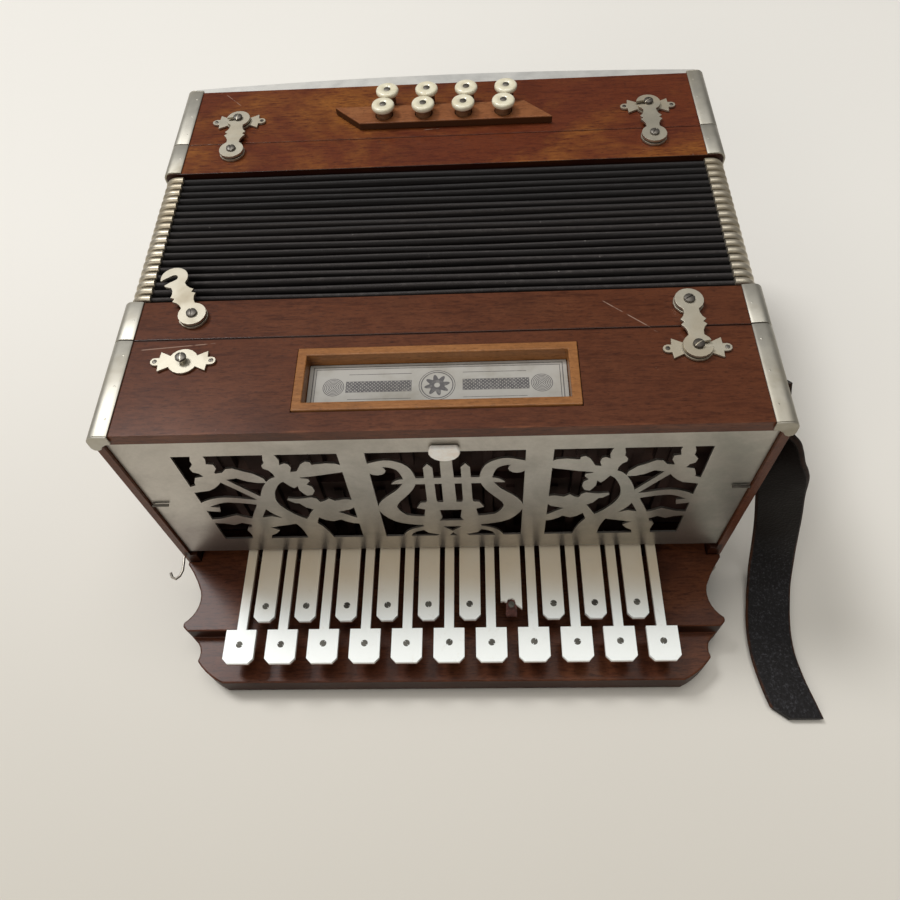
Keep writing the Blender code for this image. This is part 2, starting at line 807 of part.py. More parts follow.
def treble_reed_block(wood):
    """A plate on the action board with two long reed blocks, one for each row of keys."""
    start = FACE_Y + ACTION_Y + ACTION_T + FIT
    half = key_places(OUTER_KEYS)[-1] + PALLET_W / 2
    base = box((-half, start, INNER_PALLET_Z), (half, start + REED_BASE_T, OUTER_PALLET_Z + PALLET_H))
    middles = [z + PALLET_H / 2 for z in (INNER_PALLET_Z, OUTER_PALLET_Z)]
    blocks = reed_blocks(start + REED_BASE_T / 2, half - REED_MARGIN, middles, REED_BLOCK_L)
    add("treble_reed_block", combine(base, blocks), wood)


# Grille and its fretwork


def leaf_spray(side):
    """Stems and leaves of one side window, sized in mm from the case's middle and its upper face."""
    stems = (
        (
            (
                (72.5, 39.1), (75.9, 40.3), (78.9, 44.2), (81.9, 51.3), (83.4, 59.5), (82.5, 67),
                (78.4, 74.6), (74.5, 79.5), (71.3, 83.9), (68.8, 91.9), (67.5, 102.8),
            ),
            (4.3, 5.2, 5.2, 5.6, 6.6, 8, 7.4, 7.3, 9.3, 11, 12.8),
        ),
        (
            (
                (69.8, 83.1), (67.1, 76.3), (64.2, 70.8), (61.2, 67.2),
            ),
            (6, 4.4, 5.1, 6.7),
        ),
        (
            (
                (95.5, 103.5), (95.5, 92.6), (94.5, 84.2), (92.3, 76), (88.8, 67.2), (85, 58.6),
            ),
            (10.5, 6.8, 4.8, 4.3, 4.3, 5.2),
        ),
        (
            (
                (84, 62), (92, 59.6), (101.9, 57.7), (109.1, 60.3), (115.7, 65.6),
            ),
            (5.6, 4.4, 4.8, 5, 4.5),
        ),
        (
            (
                (106.7, 67.2), (115.3, 65.6),
            ),
            (4.4, 4.4),
        ),
        (
            (
                (84, 61), (92, 49), (99.5, 37.7),
            ),
            (3.6, 3.4, 3.8),
        ),
    )
    leaves = (
        (
            (69.1, 34.5), (67.8, 29.6), (68.3, 26.9), (69.8, 26), (71.9, 27.3), (71.3, 23.4),
            (71.9, 20.3), (72.6, 16.5), (76.5, 16.7), (77.6, 22.9), (77.6, 25.2), (79.2, 27.6),
            (79.1, 30), (77.3, 31.6), (76.1, 34.8), (75.9, 40.2), (70.6, 39.8),
        ),
        (
            (45.7, 33.6), (45.7, 29.5), (49.4, 27.2), (53.4, 26.6), (59.2, 27.6), (59.4, 25.6),
            (61.3, 24.9), (63.5, 27), (66.1, 32.8), (70.4, 33.7), (71.4, 38.7), (65, 38.2), (59.1, 37.1),
            (53.3, 35.6), (49.1, 34.6),
        ),
        (
            (65.6, 36), (72.4, 36.3), (73.8, 41.2), (71.4, 46), (70.1, 47.7), (68.3, 45.8), (68.3, 49.9),
            (67.3, 52.5), (66, 55), (63.6, 54.2), (62.1, 50.6), (62.5, 46.7), (64.4, 44.5), (62.5, 41.8),
            (62.7, 39.8), (65.9, 38.9),
        ),
        (
            (60.2, 71.1), (61.4, 62.6), (62.5, 58), (64.5, 56.6), (67.7, 57.3), (70.4, 57.9),
            (74.6, 57.3), (75.4, 58.8), (72.5, 61.9), (70.8, 62.2), (68.6, 66.5), (65.3, 68.9),
            (63.4, 72.2),
        ),
        (
            (45.6, 65.2), (45.3, 60.1), (50.5, 58.9), (55, 60.4), (57.4, 58), (59.8, 60.5), (63, 61.5),
            (65.4, 70.3), (59.6, 75.1), (56.7, 72), (53, 70.5), (49.3, 68.8),
        ),
        (
            (46.5, 84.3), (46.3, 79.1), (49.8, 76.4), (53.2, 73.3), (55.8, 71.4), (60.1, 70.1),
            (66, 70.3), (65.9, 75.6), (62.3, 79.8), (59.2, 81.1), (55.4, 79.4), (53.7, 81.4),
            (50.2, 83.6),
        ),
        (
            (80.3, 42.5), (81, 38.3), (84.1, 34.3), (87.8, 32), (91.3, 29.4), (94.2, 29.8), (96.3, 32.8),
            (100.2, 33.7), (101.9, 39.3), (97, 39.1), (91.9, 37.9), (88.3, 40.8), (84.4, 42.3),
        ),
        (
            (99.5, 38.3), (99.4, 32.4), (97.8, 29.2), (98, 26), (100.8, 25.4), (99.9, 21.5),
            (100.3, 18.5), (100.6, 16.2), (104.8, 16.4), (106.3, 22.5), (106.3, 25.6), (108.4, 28.8),
            (108, 32), (105.9, 33.2), (104.8, 35.9), (103.8, 41),
        ),
        (
            (97.8, 38.6), (98.9, 34), (103.6, 35.5), (108.6, 36.9), (110.1, 41.1), (110.4, 43.6),
            (114.8, 45.5), (115.1, 50.7), (110.4, 49.6), (106, 48.6), (103.2, 46.4), (100.5, 43.2),
        ),
        (
            (93, 84.2), (93.4, 77.7), (98, 75.2), (101.1, 73), (104.9, 74.8), (108.7, 76.5),
            (114.2, 77.3), (114.9, 81.1), (108.8, 81.5), (104.7, 83.5), (100.7, 81.3), (97.5, 83.2),
        ),
        (
            (94.4, 93.7), (95, 86.3), (98.9, 86.4), (100.3, 89.6), (99.7, 92.7), (99.2, 97.4),
            (95.5, 98),
        ),
        (
            (74.8, 82.6), (77.1, 78.6), (80.5, 77.3), (85.5, 74.8), (92.1, 76.6), (94.6, 80.1),
            (94.6, 87.3), (89, 87.1), (85.1, 85.6), (79.5, 84.2),
        ),
        (
            (85.3, 90.2), (87.7, 87.7), (94.3, 85.8), (96.1, 92.6), (96, 102.4), (91.5, 100.1),
            (90.2, 95.7), (87.6, 93.5),
        ),
    )
    shapes = [band(through(line), widths) for line, widths in stems]
    shapes += [list(outline) for outline in leaves]
    inner, outer = LEAF_WINDOW_X
    stretch = 1.0 if side > 0 else (outer - inner) / (outer - inner - 2 * LYRE_X)
    places = []
    for shape in shapes:
        spread = [(outer - (outer - x * MM) * stretch, CASE_H - drop * MM) for x, drop in shape]
        places.append([(side * x, z) for x, z in spread])
    return places


def lyre():
    """The lyre of the middle window, half drawn in mm from its axis and the case's upper face."""
    arm = (
        ((35.5, 31.4), 5.2),
        ((29.8, 28.8), 5.0),
        ((24.6, 28.2), 5.8),
        ((19.2, 32.0), 5.8),
        ((16.9, 40.5), 5.6),
        ((17.6, 46.5), 5.8),
        ((21.0, 53.4), 6.4),
        ((27.6, 62.5), 8.0),
        ((29.2, 70.0), 9.4),
        ((24.5, 78.8), 9.0),
        ((17.0, 81.8), 9.2),
        ((9.5, 82.5), 9.6),
    )
    half = [
        band(through([point for point, width in arm], 3), [width for point, width in arm]),
        circle((30.4, 33.7), 4.0, 12),
        leaf((18.0, 43.2), (25.2, 45.6), 4.6, 1, 0.0, 0.5),
        band(through(((13.6, 90.2), (18.8, 92.6), (22.2, 96.6), (24.4, 105))), (3.8, 3.4, 3.6, 5.0)),
        [(6.1, 32.1), (8.1, 28.9), (10.1, 32.1), (10.5, 66.0), (6.1, 66.0)],
        [(10.0, 63.3), (13.6, 63.8), (15.8, 68.9), (11.0, 71.0)],
        [
            (5.8, 62.0), (10.7, 62.0), (11.8, 70.0), (12.8, 77.0), (14.2, 88.5), (5.6, 88.5),
            (5.9, 82.5), (4.4, 79.0), (5.2, 71.0),
        ],
        [
            (-0.6, 94.6), (4.2, 89.2), (4.6, 87.5), (13.8, 87.5), (14.8, 91.5), (12.3, 95.6), (6.7, 97.6),
            (9.5, 101.6), (13.5, 102.6), (24.0, 102.8), (24.0, 105.0), (2.9, 105.0), (2.9, 101.0),
        ],
        [(-0.1, 16.0), (2.45, 16.0), (3.1, 66.0), (-0.1, 66.0)],
        [(-0.1, 40.9), (15.5, 40.9), (15.5, 46.2), (-0.1, 46.2)],
        [(-0.1, 63.5), (11.0, 63.5), (11.0, 71.4), (-0.1, 71.4)],
        [(-0.1, 82.4), (6.4, 82.4), (6.4, 88.8), (-0.1, 88.8)],
        [(-0.1, 101.0), (3.2, 101.0), (3.2, 105.0), (-0.1, 105.0)],
    ]
    pieces = []
    for side in (-1, 1):
        pieces += [[(LYRE_X + side * x * MM, CASE_H - drop * MM) for x, drop in shape] for shape in half]
    return pieces


def grille(metal):
    low_z, high_z = GRILLE_FOOT, CASE_H - GRILLE_TOP_DROP
    plate = rectangle((-GRILLE_HALF_W, low_z), (GRILLE_HALF_W, high_z))
    foot, head = WINDOW_FOOT, CASE_H - WINDOW_TOP_DROP
    inner, outer = LEAF_WINDOW_X
    windows = [
        rectangle((-outer, foot), (-inner, head)),
        rectangle((inner + 2 * LYRE_X, foot), (outer, head)),
        rectangle((LYRE_X - LYRE_WINDOW_W / 2, foot), (LYRE_X + LYRE_WINDOW_W / 2, head)),
    ]
    inlays = []
    for window, shapes in zip(windows, (leaf_spray(-1), leaf_spray(1), lyre())):
        (x0, z0), (x1, z1) = window[0], window[2]
        margin = 1.5 * MM
        for shape in shapes:
            inlays.append(
                [
                    (min(max(x, x0 - margin), x1 + margin), min(max(z, z0 - margin), z1 + margin))
                    for x, z in shape
                ]
            )
    start = FACE_Y + GRILLE_RECESS
    add("grille", sheet([plate], "XZ", start, start + GRILLE_T, windows, inlays), metal)


def grille_pull(pearl):
    """The half-round tab near the grille's top edge."""
    left = (PULL_X - PULL_R, CASE_H - PULL_DROP)
    right = (PULL_X + PULL_R, CASE_H - PULL_DROP)
    back = FACE_Y + GRILLE_RECESS - FIT
    add("grille_pull", sheet([[left, *arc(left, right, -PULL_L, 12)]], "XZ", back - PULL_T, back), pearl)


def grille_pin(name, side, z, steel):
    """A wire pin from the inner edge of the case's lip over the grille. Side is -1 or +1."""
    y = FACE_Y + GRILLE_RECESS - FIT - GRILLE_PIN_R
    edge = side * (GRILLE_HALF_W - FIT)
    add(name, rod((edge, y, z), (edge - side * GRILLE_PIN_L, y, z), GRILLE_PIN_R, 8), steel)


# Label


def label(light_wood, paper):
    start = FACE_Y + LABEL_START
    low = (-LABEL_W / 2, start)
    high = (LABEL_W / 2, start + LABEL_L)
    floor = CASE_H - LABEL_DEPTH + FIT
    opening = rectangle(
        (low[0] + LABEL_BEAD, low[1] + LABEL_BEAD), (high[0] - LABEL_BEAD, high[1] - LABEL_BEAD)
    )
    frame = sheet([rectangle(low, high)], "XY", floor, CASE_H + LABEL_PROUD, holes=[opening])
    add("label_frame", frame, light_wood)
    edge = LABEL_BEAD + FIT
    card = box((low[0] + edge, low[1] + edge, floor), (high[0] - edge, high[1] - edge, floor + CARD_T))
    add("label_card", card, paper)


# Latches


def hook_mesh():
    """A latch hook with its rivet, the pivot at the origin and the arm along -Y, its slot open to +X."""
    reach = LATCH_REACH
    heads = [circle((0, 0), HOOK_R, 20), circle((0, -reach), HOOK_R, 20)]
    neck, tooth, middle = 4.8 * MM, 5.4 * MM, reach / 2
    half = [(neck, -2 * MM)]
    half += arc(half[-1], (tooth, -middle + 1.4 * MM), -1.9 * MM, 5)
    half += [(neck - 0.9 * MM, -middle)]
    half += [(tooth, -middle - 1.4 * MM)]
    half += arc(half[-1], (neck, -reach + 2 * MM), -1.9 * MM, 5)
    shank = half + [(-x, y) for x, y in reversed(half)]
    gap = LATCH_PIN_R + FIT
    first, last = math.radians(-90), math.radians(-60)
    steps = 4
    turns = [first + (last - first) * i / steps for i in range(steps + 1)]
    outside = [((reach + gap) * math.cos(t), (reach + gap) * math.sin(t)) for t in turns]
    within = [((reach - gap) * math.cos(t), (reach - gap) * math.sin(t)) for t in reversed(turns)]
    slot = outside + within
    plate = sheet([*heads, shank], "XY", HOOK_LIFT, HOOK_LIFT + HOOK_T, [slot, circle((0, -reach), gap, 12)])
    rivet = turned(
        (0, 0, 0),
        (
            (PIVOT_R, -PIVOT_DEPTH),
            (PIVOT_R, FIT),
            (KEEPER_R, FIT),
            (KEEPER_R, FIT + KEEPER_T),
            (PIVOT_R, FIT + KEEPER_T),
            (PIVOT_R, HOOK_LIFT + HOOK_T - 0.2 * MM),
            (LATCH_HEAD_R, HOOK_LIFT + HOOK_T - 0.1 * MM),
            (LATCH_HEAD_R * 0.8, HOOK_LIFT + HOOK_T + 0.8 * MM),
        ),
        14,
    )
    return combine(plate, [rivet])


def keeper_mesh():
    """A latch plate with two fishtail wings and its headed pin, the pin's foot at the origin."""
    barb = WING_REACH - 2 * MM
    half = [(4 * MM, -WING_NECK), (barb, -WING_SPREAD), (barb + 0.2 * MM, -WING_NECK)]
    half += [(WING_REACH, -WING_NECK)]
    half += arc((WING_REACH, -WING_NECK), (WING_REACH, WING_NECK), -WING_NECK * 0.95, 5)
    half += [(barb + 0.2 * MM, WING_NECK * 0.95), (barb, WING_SPREAD), (4 * MM, WING_NECK)]
    other = [(-x, y) for x, y in reversed(half)]
    plate = sheet([circle((0, 0), KEEPER_R, 18), half, other], "XY", FIT, FIT + KEEPER_T)
    pin = turned(
        (0, 0, 0),
        (
            (LATCH_PIN_R, FIT + KEEPER_T / 2),
            (LATCH_PIN_R, LATCH_PIN_RISE),
            (LATCH_HEAD_R, LATCH_PIN_RISE),
            (LATCH_HEAD_R, LATCH_PIN_RISE + LATCH_HEAD_T / 2),
            (LATCH_HEAD_R * 0.5, LATCH_PIN_RISE + LATCH_HEAD_T),
        ),
        12,
    )
    return combine(plate, [pin])


def latches(nickel):
    hook, keeper = hook_mesh(), keeper_mesh()
    treble_pin = TREBLE_BACK_Y - TREBLE_PIN_INSET
    bass_pin = BASS_Y + BASS_PIN_INSET
    sides = (("left", -LATCH_X), ("right", LATCH_X))
    for side, x in sides:
        open_turn = OPEN_SWING if side == "left" else 0.0
        add(f"treble_keeper_{side}", keeper, nickel, (x, treble_pin, CASE_H))
        add(f"treble_hook_{side}", hook, nickel, (x, treble_pin + LATCH_REACH, CASE_H), open_turn)
        add(f"bass_keeper_{side}", keeper, nickel, (x, bass_pin, CASE_H), 180.0)
        add(f"bass_hook_{side}", hook, nickel, (x, bass_pin - LATCH_REACH, CASE_H), 180.0)


# Bass end


def bass_buttons(ivory, wood):
    foot = -BUTTON_SUNK
    profile = (
        (BUTTON_STEM_R - 0.4 * MM, foot),
        (BUTTON_STEM_R, foot + 0.5 * MM),
        (BUTTON_STEM_R, BUTTON_TOP - BUTTON_T),
        (BUTTON_R, BUTTON_TOP - BUTTON_T),
        (BUTTON_R, BUTTON_TOP - 0.7 * MM),
        (BUTTON_R - 0.7 * MM, BUTTON_TOP),
    )
    shape = combine(turned((0, 0, 0), profile, 16))
    for i, (x, y) in enumerate(button_places(), 1):
        add(f"bass_button_{i}", shape, ivory, (x, y, CASE_H))

    plank_y = BASS_Y + PLANK_START
    left = BUTTON_X + PLANK_SHIFT - PLANK_W / 2
    plank = [
        (left + PLANK_SLANT, plank_y),
        (left + PLANK_W + PLANK_SLANT, plank_y),
        (left + PLANK_W, plank_y + PLANK_DEPTH),
        (left, plank_y + PLANK_DEPTH),
    ]
    holes = [
        circle(place, BUTTON_STEM_R + BORE_CLEARANCE, 16) for place in button_places()[:BUTTON_COLUMNS]
    ]
    board = sheet([plank], "XY", CASE_H + FIT, CASE_H + FIT + PLANK_T, holes)
    add("bass_button_board", board, wood)


def end_bow(x):
    """How far the end cover stands out of the case's end at x."""
    half = CASE_W / 2 - END_MARGIN
    return END_RIM + END_BOW * (1 - (x / half) ** 2)


def end_cover(metal):
    half = CASE_W / 2 - END_MARGIN
    steps = 12
    start = BASS_END_Y + FIT
    xs = [half - 2 * half * i / steps for i in range(steps + 1)]
    outline = [(-half, start), (half, start)] + [(x, start + end_bow(x)) for x in xs]
    solid = sheet([outline], "XY", END_MARGIN, CASE_H - END_TOP_DROP)
    inner_half = half - 3 * MM
    within = [inner_half - 2 * inner_half * i / steps for i in range(steps + 1)]
    hollow_line = [(-inner_half, start - 1 * MM), (inner_half, start - 1 * MM)]
    hollow_line += [(x, start + max(end_bow(x) - END_SHEET, 0.2 * MM)) for x in within]
    hollow = sheet([hollow_line], "XY", END_MARGIN + 2 * MM, CASE_H - END_TOP_DROP - 2 * MM)
    radius = AIR_STEM_R + BORE_CLEARANCE
    hole = rod((AIR_X, start - 2 * MM, AIR_Z), (AIR_X, start + 12 * MM, AIR_Z), radius, 14)
    add("bass_end_cover", combine(solid, cut=[hollow, hole]), metal)


def air_button(metal):
    """A headed button through the end cover, with a collar inside that stops it."""
    y0 = BASS_END_Y + FIT
    head_y = y0 + end_bow(AIR_X) + AIR_TRAVEL + 1.2 * MM
    profile = [
        (AIR_R * 0.8, y0 - 8 * MM),
        (AIR_R * 0.8, y0 - 1.0 * MM),
        (AIR_STEM_R, y0 - 1.0 * MM),
        (AIR_STEM_R, head_y),
        (AIR_R, head_y + 0.4 * MM),
        (AIR_R, head_y + 2.0 * MM),
        (AIR_R * 0.7, head_y + 3.0 * MM),
    ]
    rings = []
    for radius, y in profile:
        rings.append([(x, y, z) for x, z in circle((AIR_X, AIR_Z), radius, 14)])
    add("air_button", skin(rings), metal)


def ribbon(centres, width, thickness):
    """A flat strap along a line of (point, across) pairs. Across is the direction of its width."""
    rings = []
    for i, (point, across) in enumerate(centres):
        before = Vector(centres[max(i - 1, 0)][0])
        after = Vector(centres[min(i + 1, len(centres) - 1)][0])
        along = (after - before).normalized()
        wide = Vector(across).normalized()
        wide = (wide - along * wide.dot(along)).normalized()
        thick = along.cross(wide) * thickness / 2
        wide = wide * width / 2
        at = Vector(point)
        rings.append([tuple(at + wide * a + thick * b) for a, b in ((1, 1), (1, -1), (-1, -1), (-1, 1))])
    return skin(rings)


def hand_strap(leather):
    """A strap along X over the bass end, both its feet flat on the end cover."""
    line = []
    half, foot = STRAP_SPAN, HAND_STRAP_FOOT
    steps = 28
    for i in range(steps + 1):
        x = -half + 2 * half * i / steps
        inner = max(0.0, 1 - (abs(x) / (half - foot)) ** 2) if abs(x) < half - foot else 0.0
        rise = HAND_STRAP_RISE * inner ** 0.8
        y = BASS_END_Y + FIT + end_bow(x) + FIT + HAND_STRAP_T / 2 + rise
        line.append(((x, y, CASE_H / 2), (0, 0, 1)))
    add("hand_strap", ribbon(line, HAND_STRAP_W, HAND_STRAP_T), leather)


def bass_reed_block(wood):
    """A board inside the bass case with two reed blocks reaching into the frame."""
    start = BASS_Y + FIT
    low = (-BASS_REED_W / 2, start, FLAT_WALL + FIT)
    board = box(low, (BASS_REED_W / 2, start + REED_BASE_T, CASE_H - FLAT_WALL - FIT))
    half = BASS_REED_W / 2 - REED_MARGIN
    foot = start + REED_BASE_T / 2 - BASS_REED_L
    add("bass_reed_block", combine(board, reed_blocks(foot, half, BASS_REED_Z, BASS_REED_L)), wood)


# Shoulder strap


def smooth_route(route, steps):
    """Points and width directions read evenly from a smooth curve through (point, across) pairs."""
    found = []
    ends = [route[0], *route, route[-1]]
    for k in range(len(route) - 1):
        four = [[Vector(part) for part in pair] for pair in ends[k : k + 4]]
        for i in range(steps + (k == len(route) - 2)):
            weights = curve_weights(i / steps)
            point = sum((w * pair[0] for w, pair in zip(weights, four)), Vector())
            across = sum((w * pair[1] for w, pair in zip(weights, four)), Vector())
            found.append((point, across))
    return found


def shoulder_strap(leather):
    """A strap from its stud on the right wall, hanging through a quarter turn to lie forward on the floor."""
    wall = CASE_W / 2 + FIT + SHOULDER_T / 2
    floor = SHOULDER_T / 2 + FIT
    hanging = (
        ((0.0, 6, 1.055), (0, -1, 0.15)),
        ((0.0, 0, 1.0), (0, -1, 0.15)),
        ((0.0, -4, 0.955), (0.04, -1, 0.14)),
        ((3.4, -8, 0.9), (0.40, -0.92, 0.05)),
        ((7.2, -11, 0.8), (0.66, -0.75, 0)),
        ((10.6, -13, 0.72), (0.88, -0.45, 0.03)),
        ((13.2, -14, 0.64), (0.96, -0.2, 0.05)),
        ((16.4, -15, 0.531), (0.97, 0, 0.2)),
        ((20.4, -17, 0.391), (1, 0, 0.12)),
        ((23.9, -19, 0.25), (0.97, 0, 0.22)),
        ((26.4, -23, 0.117), (0.96, 0, 0.28)),
    )
    lying = (
        ((26.4, -31, 3.2), (1, 0, 0.05)),
        ((24.4, -42, 0.4), (1, 0.1, 0)),
        ((21.9, -56, 0), (1, 0.1, 0)),
        ((21.4, -70, 0), (1, 0, 0)),
        ((23.4, -84, 0), (1, -0.2, 0)),
        ((28.4, -97, 0), (1, -0.4, 0)),
    )
    route = []
    for (out, along, share), w in hanging:
        route.append(((wall + out * MM, STUD_Y + along * MM, STUD_Z * share), w))
    for (out, along, rise), w in lying:
        route.append(((wall + out * MM, STUD_Y + along * MM, floor + rise * MM), w))
    line = []
    for point, across in smooth_route(route, 3):
        inner_edge = (SHOULDER_W * abs(across.normalized().x) + SHOULDER_T) / 2
        line.append((Vector((max(point.x, CASE_W / 2 + 2 * FIT + inner_edge), point.y, point.z)), across))
    hole = rod((0, STUD_Y, STUD_Z), (CASE_W, STUD_Y, STUD_Z), STUD_STEM_R + FIT, 10)
    strap = ribbon(line, SHOULDER_W, SHOULDER_T)
    add("shoulder_strap", combine(strap, cut=[hole]), leather)


def strap_stud(nickel):
    """The domed screw that holds the shoulder strap to the right wall."""
    wall = CASE_W / 2
    head = wall + SHOULDER_T + 4 * FIT
    profile = (
        (STUD_STEM_R, wall + FIT),
        (STUD_STEM_R, head),
        (STUD_R, head),
        (STUD_R * 0.85, head + 1.2 * MM),
        (STUD_STEM_R, head + 2.2 * MM),
    )
    rings = [[(x, y, z) for y, z in circle((STUD_Y, STUD_Z), radius, 12)] for radius, x in profile]
    add("strap_stud", skin(rings), nickel)


def build():
    clear_scene()
    mahogany = material("mahogany", (0.16, 0.045, 0.022), 0.35)
    dark_wood = material("dark_mahogany", (0.09, 0.030, 0.018), 0.45)
    light_wood = material("light_wood", (0.55, 0.25, 0.09), 0.4)
    inner_wood = material("inner_wood", (0.45, 0.30, 0.17), 0.7)
    nickel = material("nickel", (0.62, 0.58, 0.50), 0.35, 1.0)
    steel = material("steel", (0.25, 0.24, 0.22), 0.4, 1.0)
    dull_metal = material("dull_metal", (0.45, 0.44, 0.42), 0.5, 0.8)
    white = material("white_touch", (0.80, 0.80, 0.76), 0.3)
    ivory = material("ivory", (0.85, 0.80, 0.62), 0.3)
    pearl = material("pearl", (0.85, 0.78, 0.66), 0.3)
    paper = material("paper", (0.72, 0.72, 0.70), 0.8)
    cloth = material("black_cloth", (0.02, 0.018, 0.018), 0.7)
    leather = material("black_leather", (0.02, 0.018, 0.018), 0.5)
    treble_case(mahogany)
    treble_frame(mahogany)
    fingerboard(dark_wood)
    action_board(inner_wood)
    treble_reed_block(inner_wood)
    key_axle(steel)
    key_springs(steel)
    keys(white)
    grille(dull_metal)
    grille_pull(pearl)
    label(light_wood, paper)
    bellows(cloth)
    bass_frame(mahogany)
    bass_case(mahogany)
    bass_buttons(ivory, light_wood)
    bass_reed_block(inner_wood)
    end_cover(dull_metal)
    air_button(nickel)
    hand_strap(leather)
    latches(nickel)
    shoulder_strap(leather)
    strap_stud(nickel)
    grille_pin("grille_pin_left", -1, CASE_H - LEFT_PIN_DROP, steel)
    grille_pin("grille_pin_right", 1, CASE_H - RIGHT_PIN_DROP, steel)


build()
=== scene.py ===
"""Looks of a two-row button accordion that lies on its back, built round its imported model.

Lengths are metres. +X runs along the keyboard, +Y towards the bass end, +Z up.
"""

import json
import math
import random

import bmesh
import bpy
from mathutils import Matrix, Vector
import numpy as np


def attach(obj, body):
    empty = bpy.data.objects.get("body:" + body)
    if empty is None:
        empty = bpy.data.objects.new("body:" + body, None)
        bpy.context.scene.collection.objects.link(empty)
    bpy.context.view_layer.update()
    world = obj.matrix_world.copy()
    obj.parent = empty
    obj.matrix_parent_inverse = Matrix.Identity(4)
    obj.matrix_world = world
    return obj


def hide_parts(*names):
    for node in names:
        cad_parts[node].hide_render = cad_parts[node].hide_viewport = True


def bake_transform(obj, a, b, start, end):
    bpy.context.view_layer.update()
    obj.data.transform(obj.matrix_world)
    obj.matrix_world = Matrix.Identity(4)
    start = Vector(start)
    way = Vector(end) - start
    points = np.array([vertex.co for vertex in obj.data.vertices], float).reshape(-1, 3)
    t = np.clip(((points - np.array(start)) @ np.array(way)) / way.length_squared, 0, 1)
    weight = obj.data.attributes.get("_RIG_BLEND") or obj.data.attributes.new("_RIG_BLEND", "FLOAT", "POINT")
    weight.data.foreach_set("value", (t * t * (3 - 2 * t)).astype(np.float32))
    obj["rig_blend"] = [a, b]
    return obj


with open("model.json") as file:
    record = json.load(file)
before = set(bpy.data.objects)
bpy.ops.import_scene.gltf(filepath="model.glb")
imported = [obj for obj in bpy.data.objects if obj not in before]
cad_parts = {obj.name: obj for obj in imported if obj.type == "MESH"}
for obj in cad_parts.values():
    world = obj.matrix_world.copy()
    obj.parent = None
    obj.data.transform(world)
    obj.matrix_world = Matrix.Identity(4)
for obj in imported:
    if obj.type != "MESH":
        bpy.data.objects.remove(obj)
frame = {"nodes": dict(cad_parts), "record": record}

bpy.context.view_layer.update()
MM = 0.001

# Sizes shared with the solid model
HALF_W = 0.140
TOP = 0.145
EDGE_R = 0.0035
FACE_Y = -0.0245
TREBLE_SEAM_Y = 0.02465
BELLOWS_Y = 0.0471
BASS_FRAME_Y = 0.1334
BASS_SEAM_Y = 0.15605
BASS_Y = 0.1562
BASS_END_Y = 0.2012
BELLOWS_L = 0.086
FOLDS = 18
COLLAR = 0.0008
COLLAR_DEPTH = 0.0022
FOLD_DEPTH = 0.0135
FOLD_PITCH = (BELLOWS_L - 2 * COLLAR) / FOLDS
RIDGE_X = HALF_W - 0.001
RIDGE_Z = TOP / 2 - 0.001
KEY_TOP = 0.030
BOARD_TOP = 0.014
CHEEK_TOP = 0.023
KEY_PITCH = 0.0206
OUTER_KEYS = 11
INNER_KEYS = 10
BROKEN_KEY = 7
LATCH_X = 0.1072
LATCH_REACH = 0.0248
TREBLE_PIN_Y = 0.0120
BASS_PIN_Y = 0.1727
HOOK_TOP = 0.0032
PIN_TOP = 0.0036
STUD_Y = -0.002
STUD_Z = 0.128

NODES = frame["nodes"]
BODY_OF = {node: body for body, nodes in frame["record"]["behaviour"]["bodies"].items() for node in nodes}


# Finishes


class Signal:
    """A socket on which arithmetic adds Math nodes."""

    def __init__(self, finish, socket):
        self.finish = finish
        self.socket = socket

    def maths(self, operation, *values):
        return self.finish.node("Math", dict(enumerate(values)), operation=operation)

    def __add__(self, other):
        return self.maths("ADD", self, other)

    def __sub__(self, other):
        return self.maths("SUBTRACT", self, other)

    def __rsub__(self, other):
        return self.maths("SUBTRACT", other, self)

    def __mul__(self, other):
        return self.maths("MULTIPLY", self, other)

    __radd__ = __add__
    __rmul__ = __mul__

    def size(self):
        return self.maths("ABSOLUTE", self)

    def wave(self):
        return self.maths("SINE", self)

    def most(self, other):
        return self.maths("MAXIMUM", self, other)

    def rise(self, low, high):
        """0 below low, 1 above high, eased between. Falls if low is above high."""
        settings = {"interpolation_type": "SMOOTHSTEP"}
        if low < high:
            return self.finish.node("MapRange", {0: self, 1: low, 2: high, 3: 0.0, 4: 1.0}, **settings)
        return self.finish.node("MapRange", {0: self, 1: high, 2: low, 3: 1.0, 4: 0.0}, **settings)


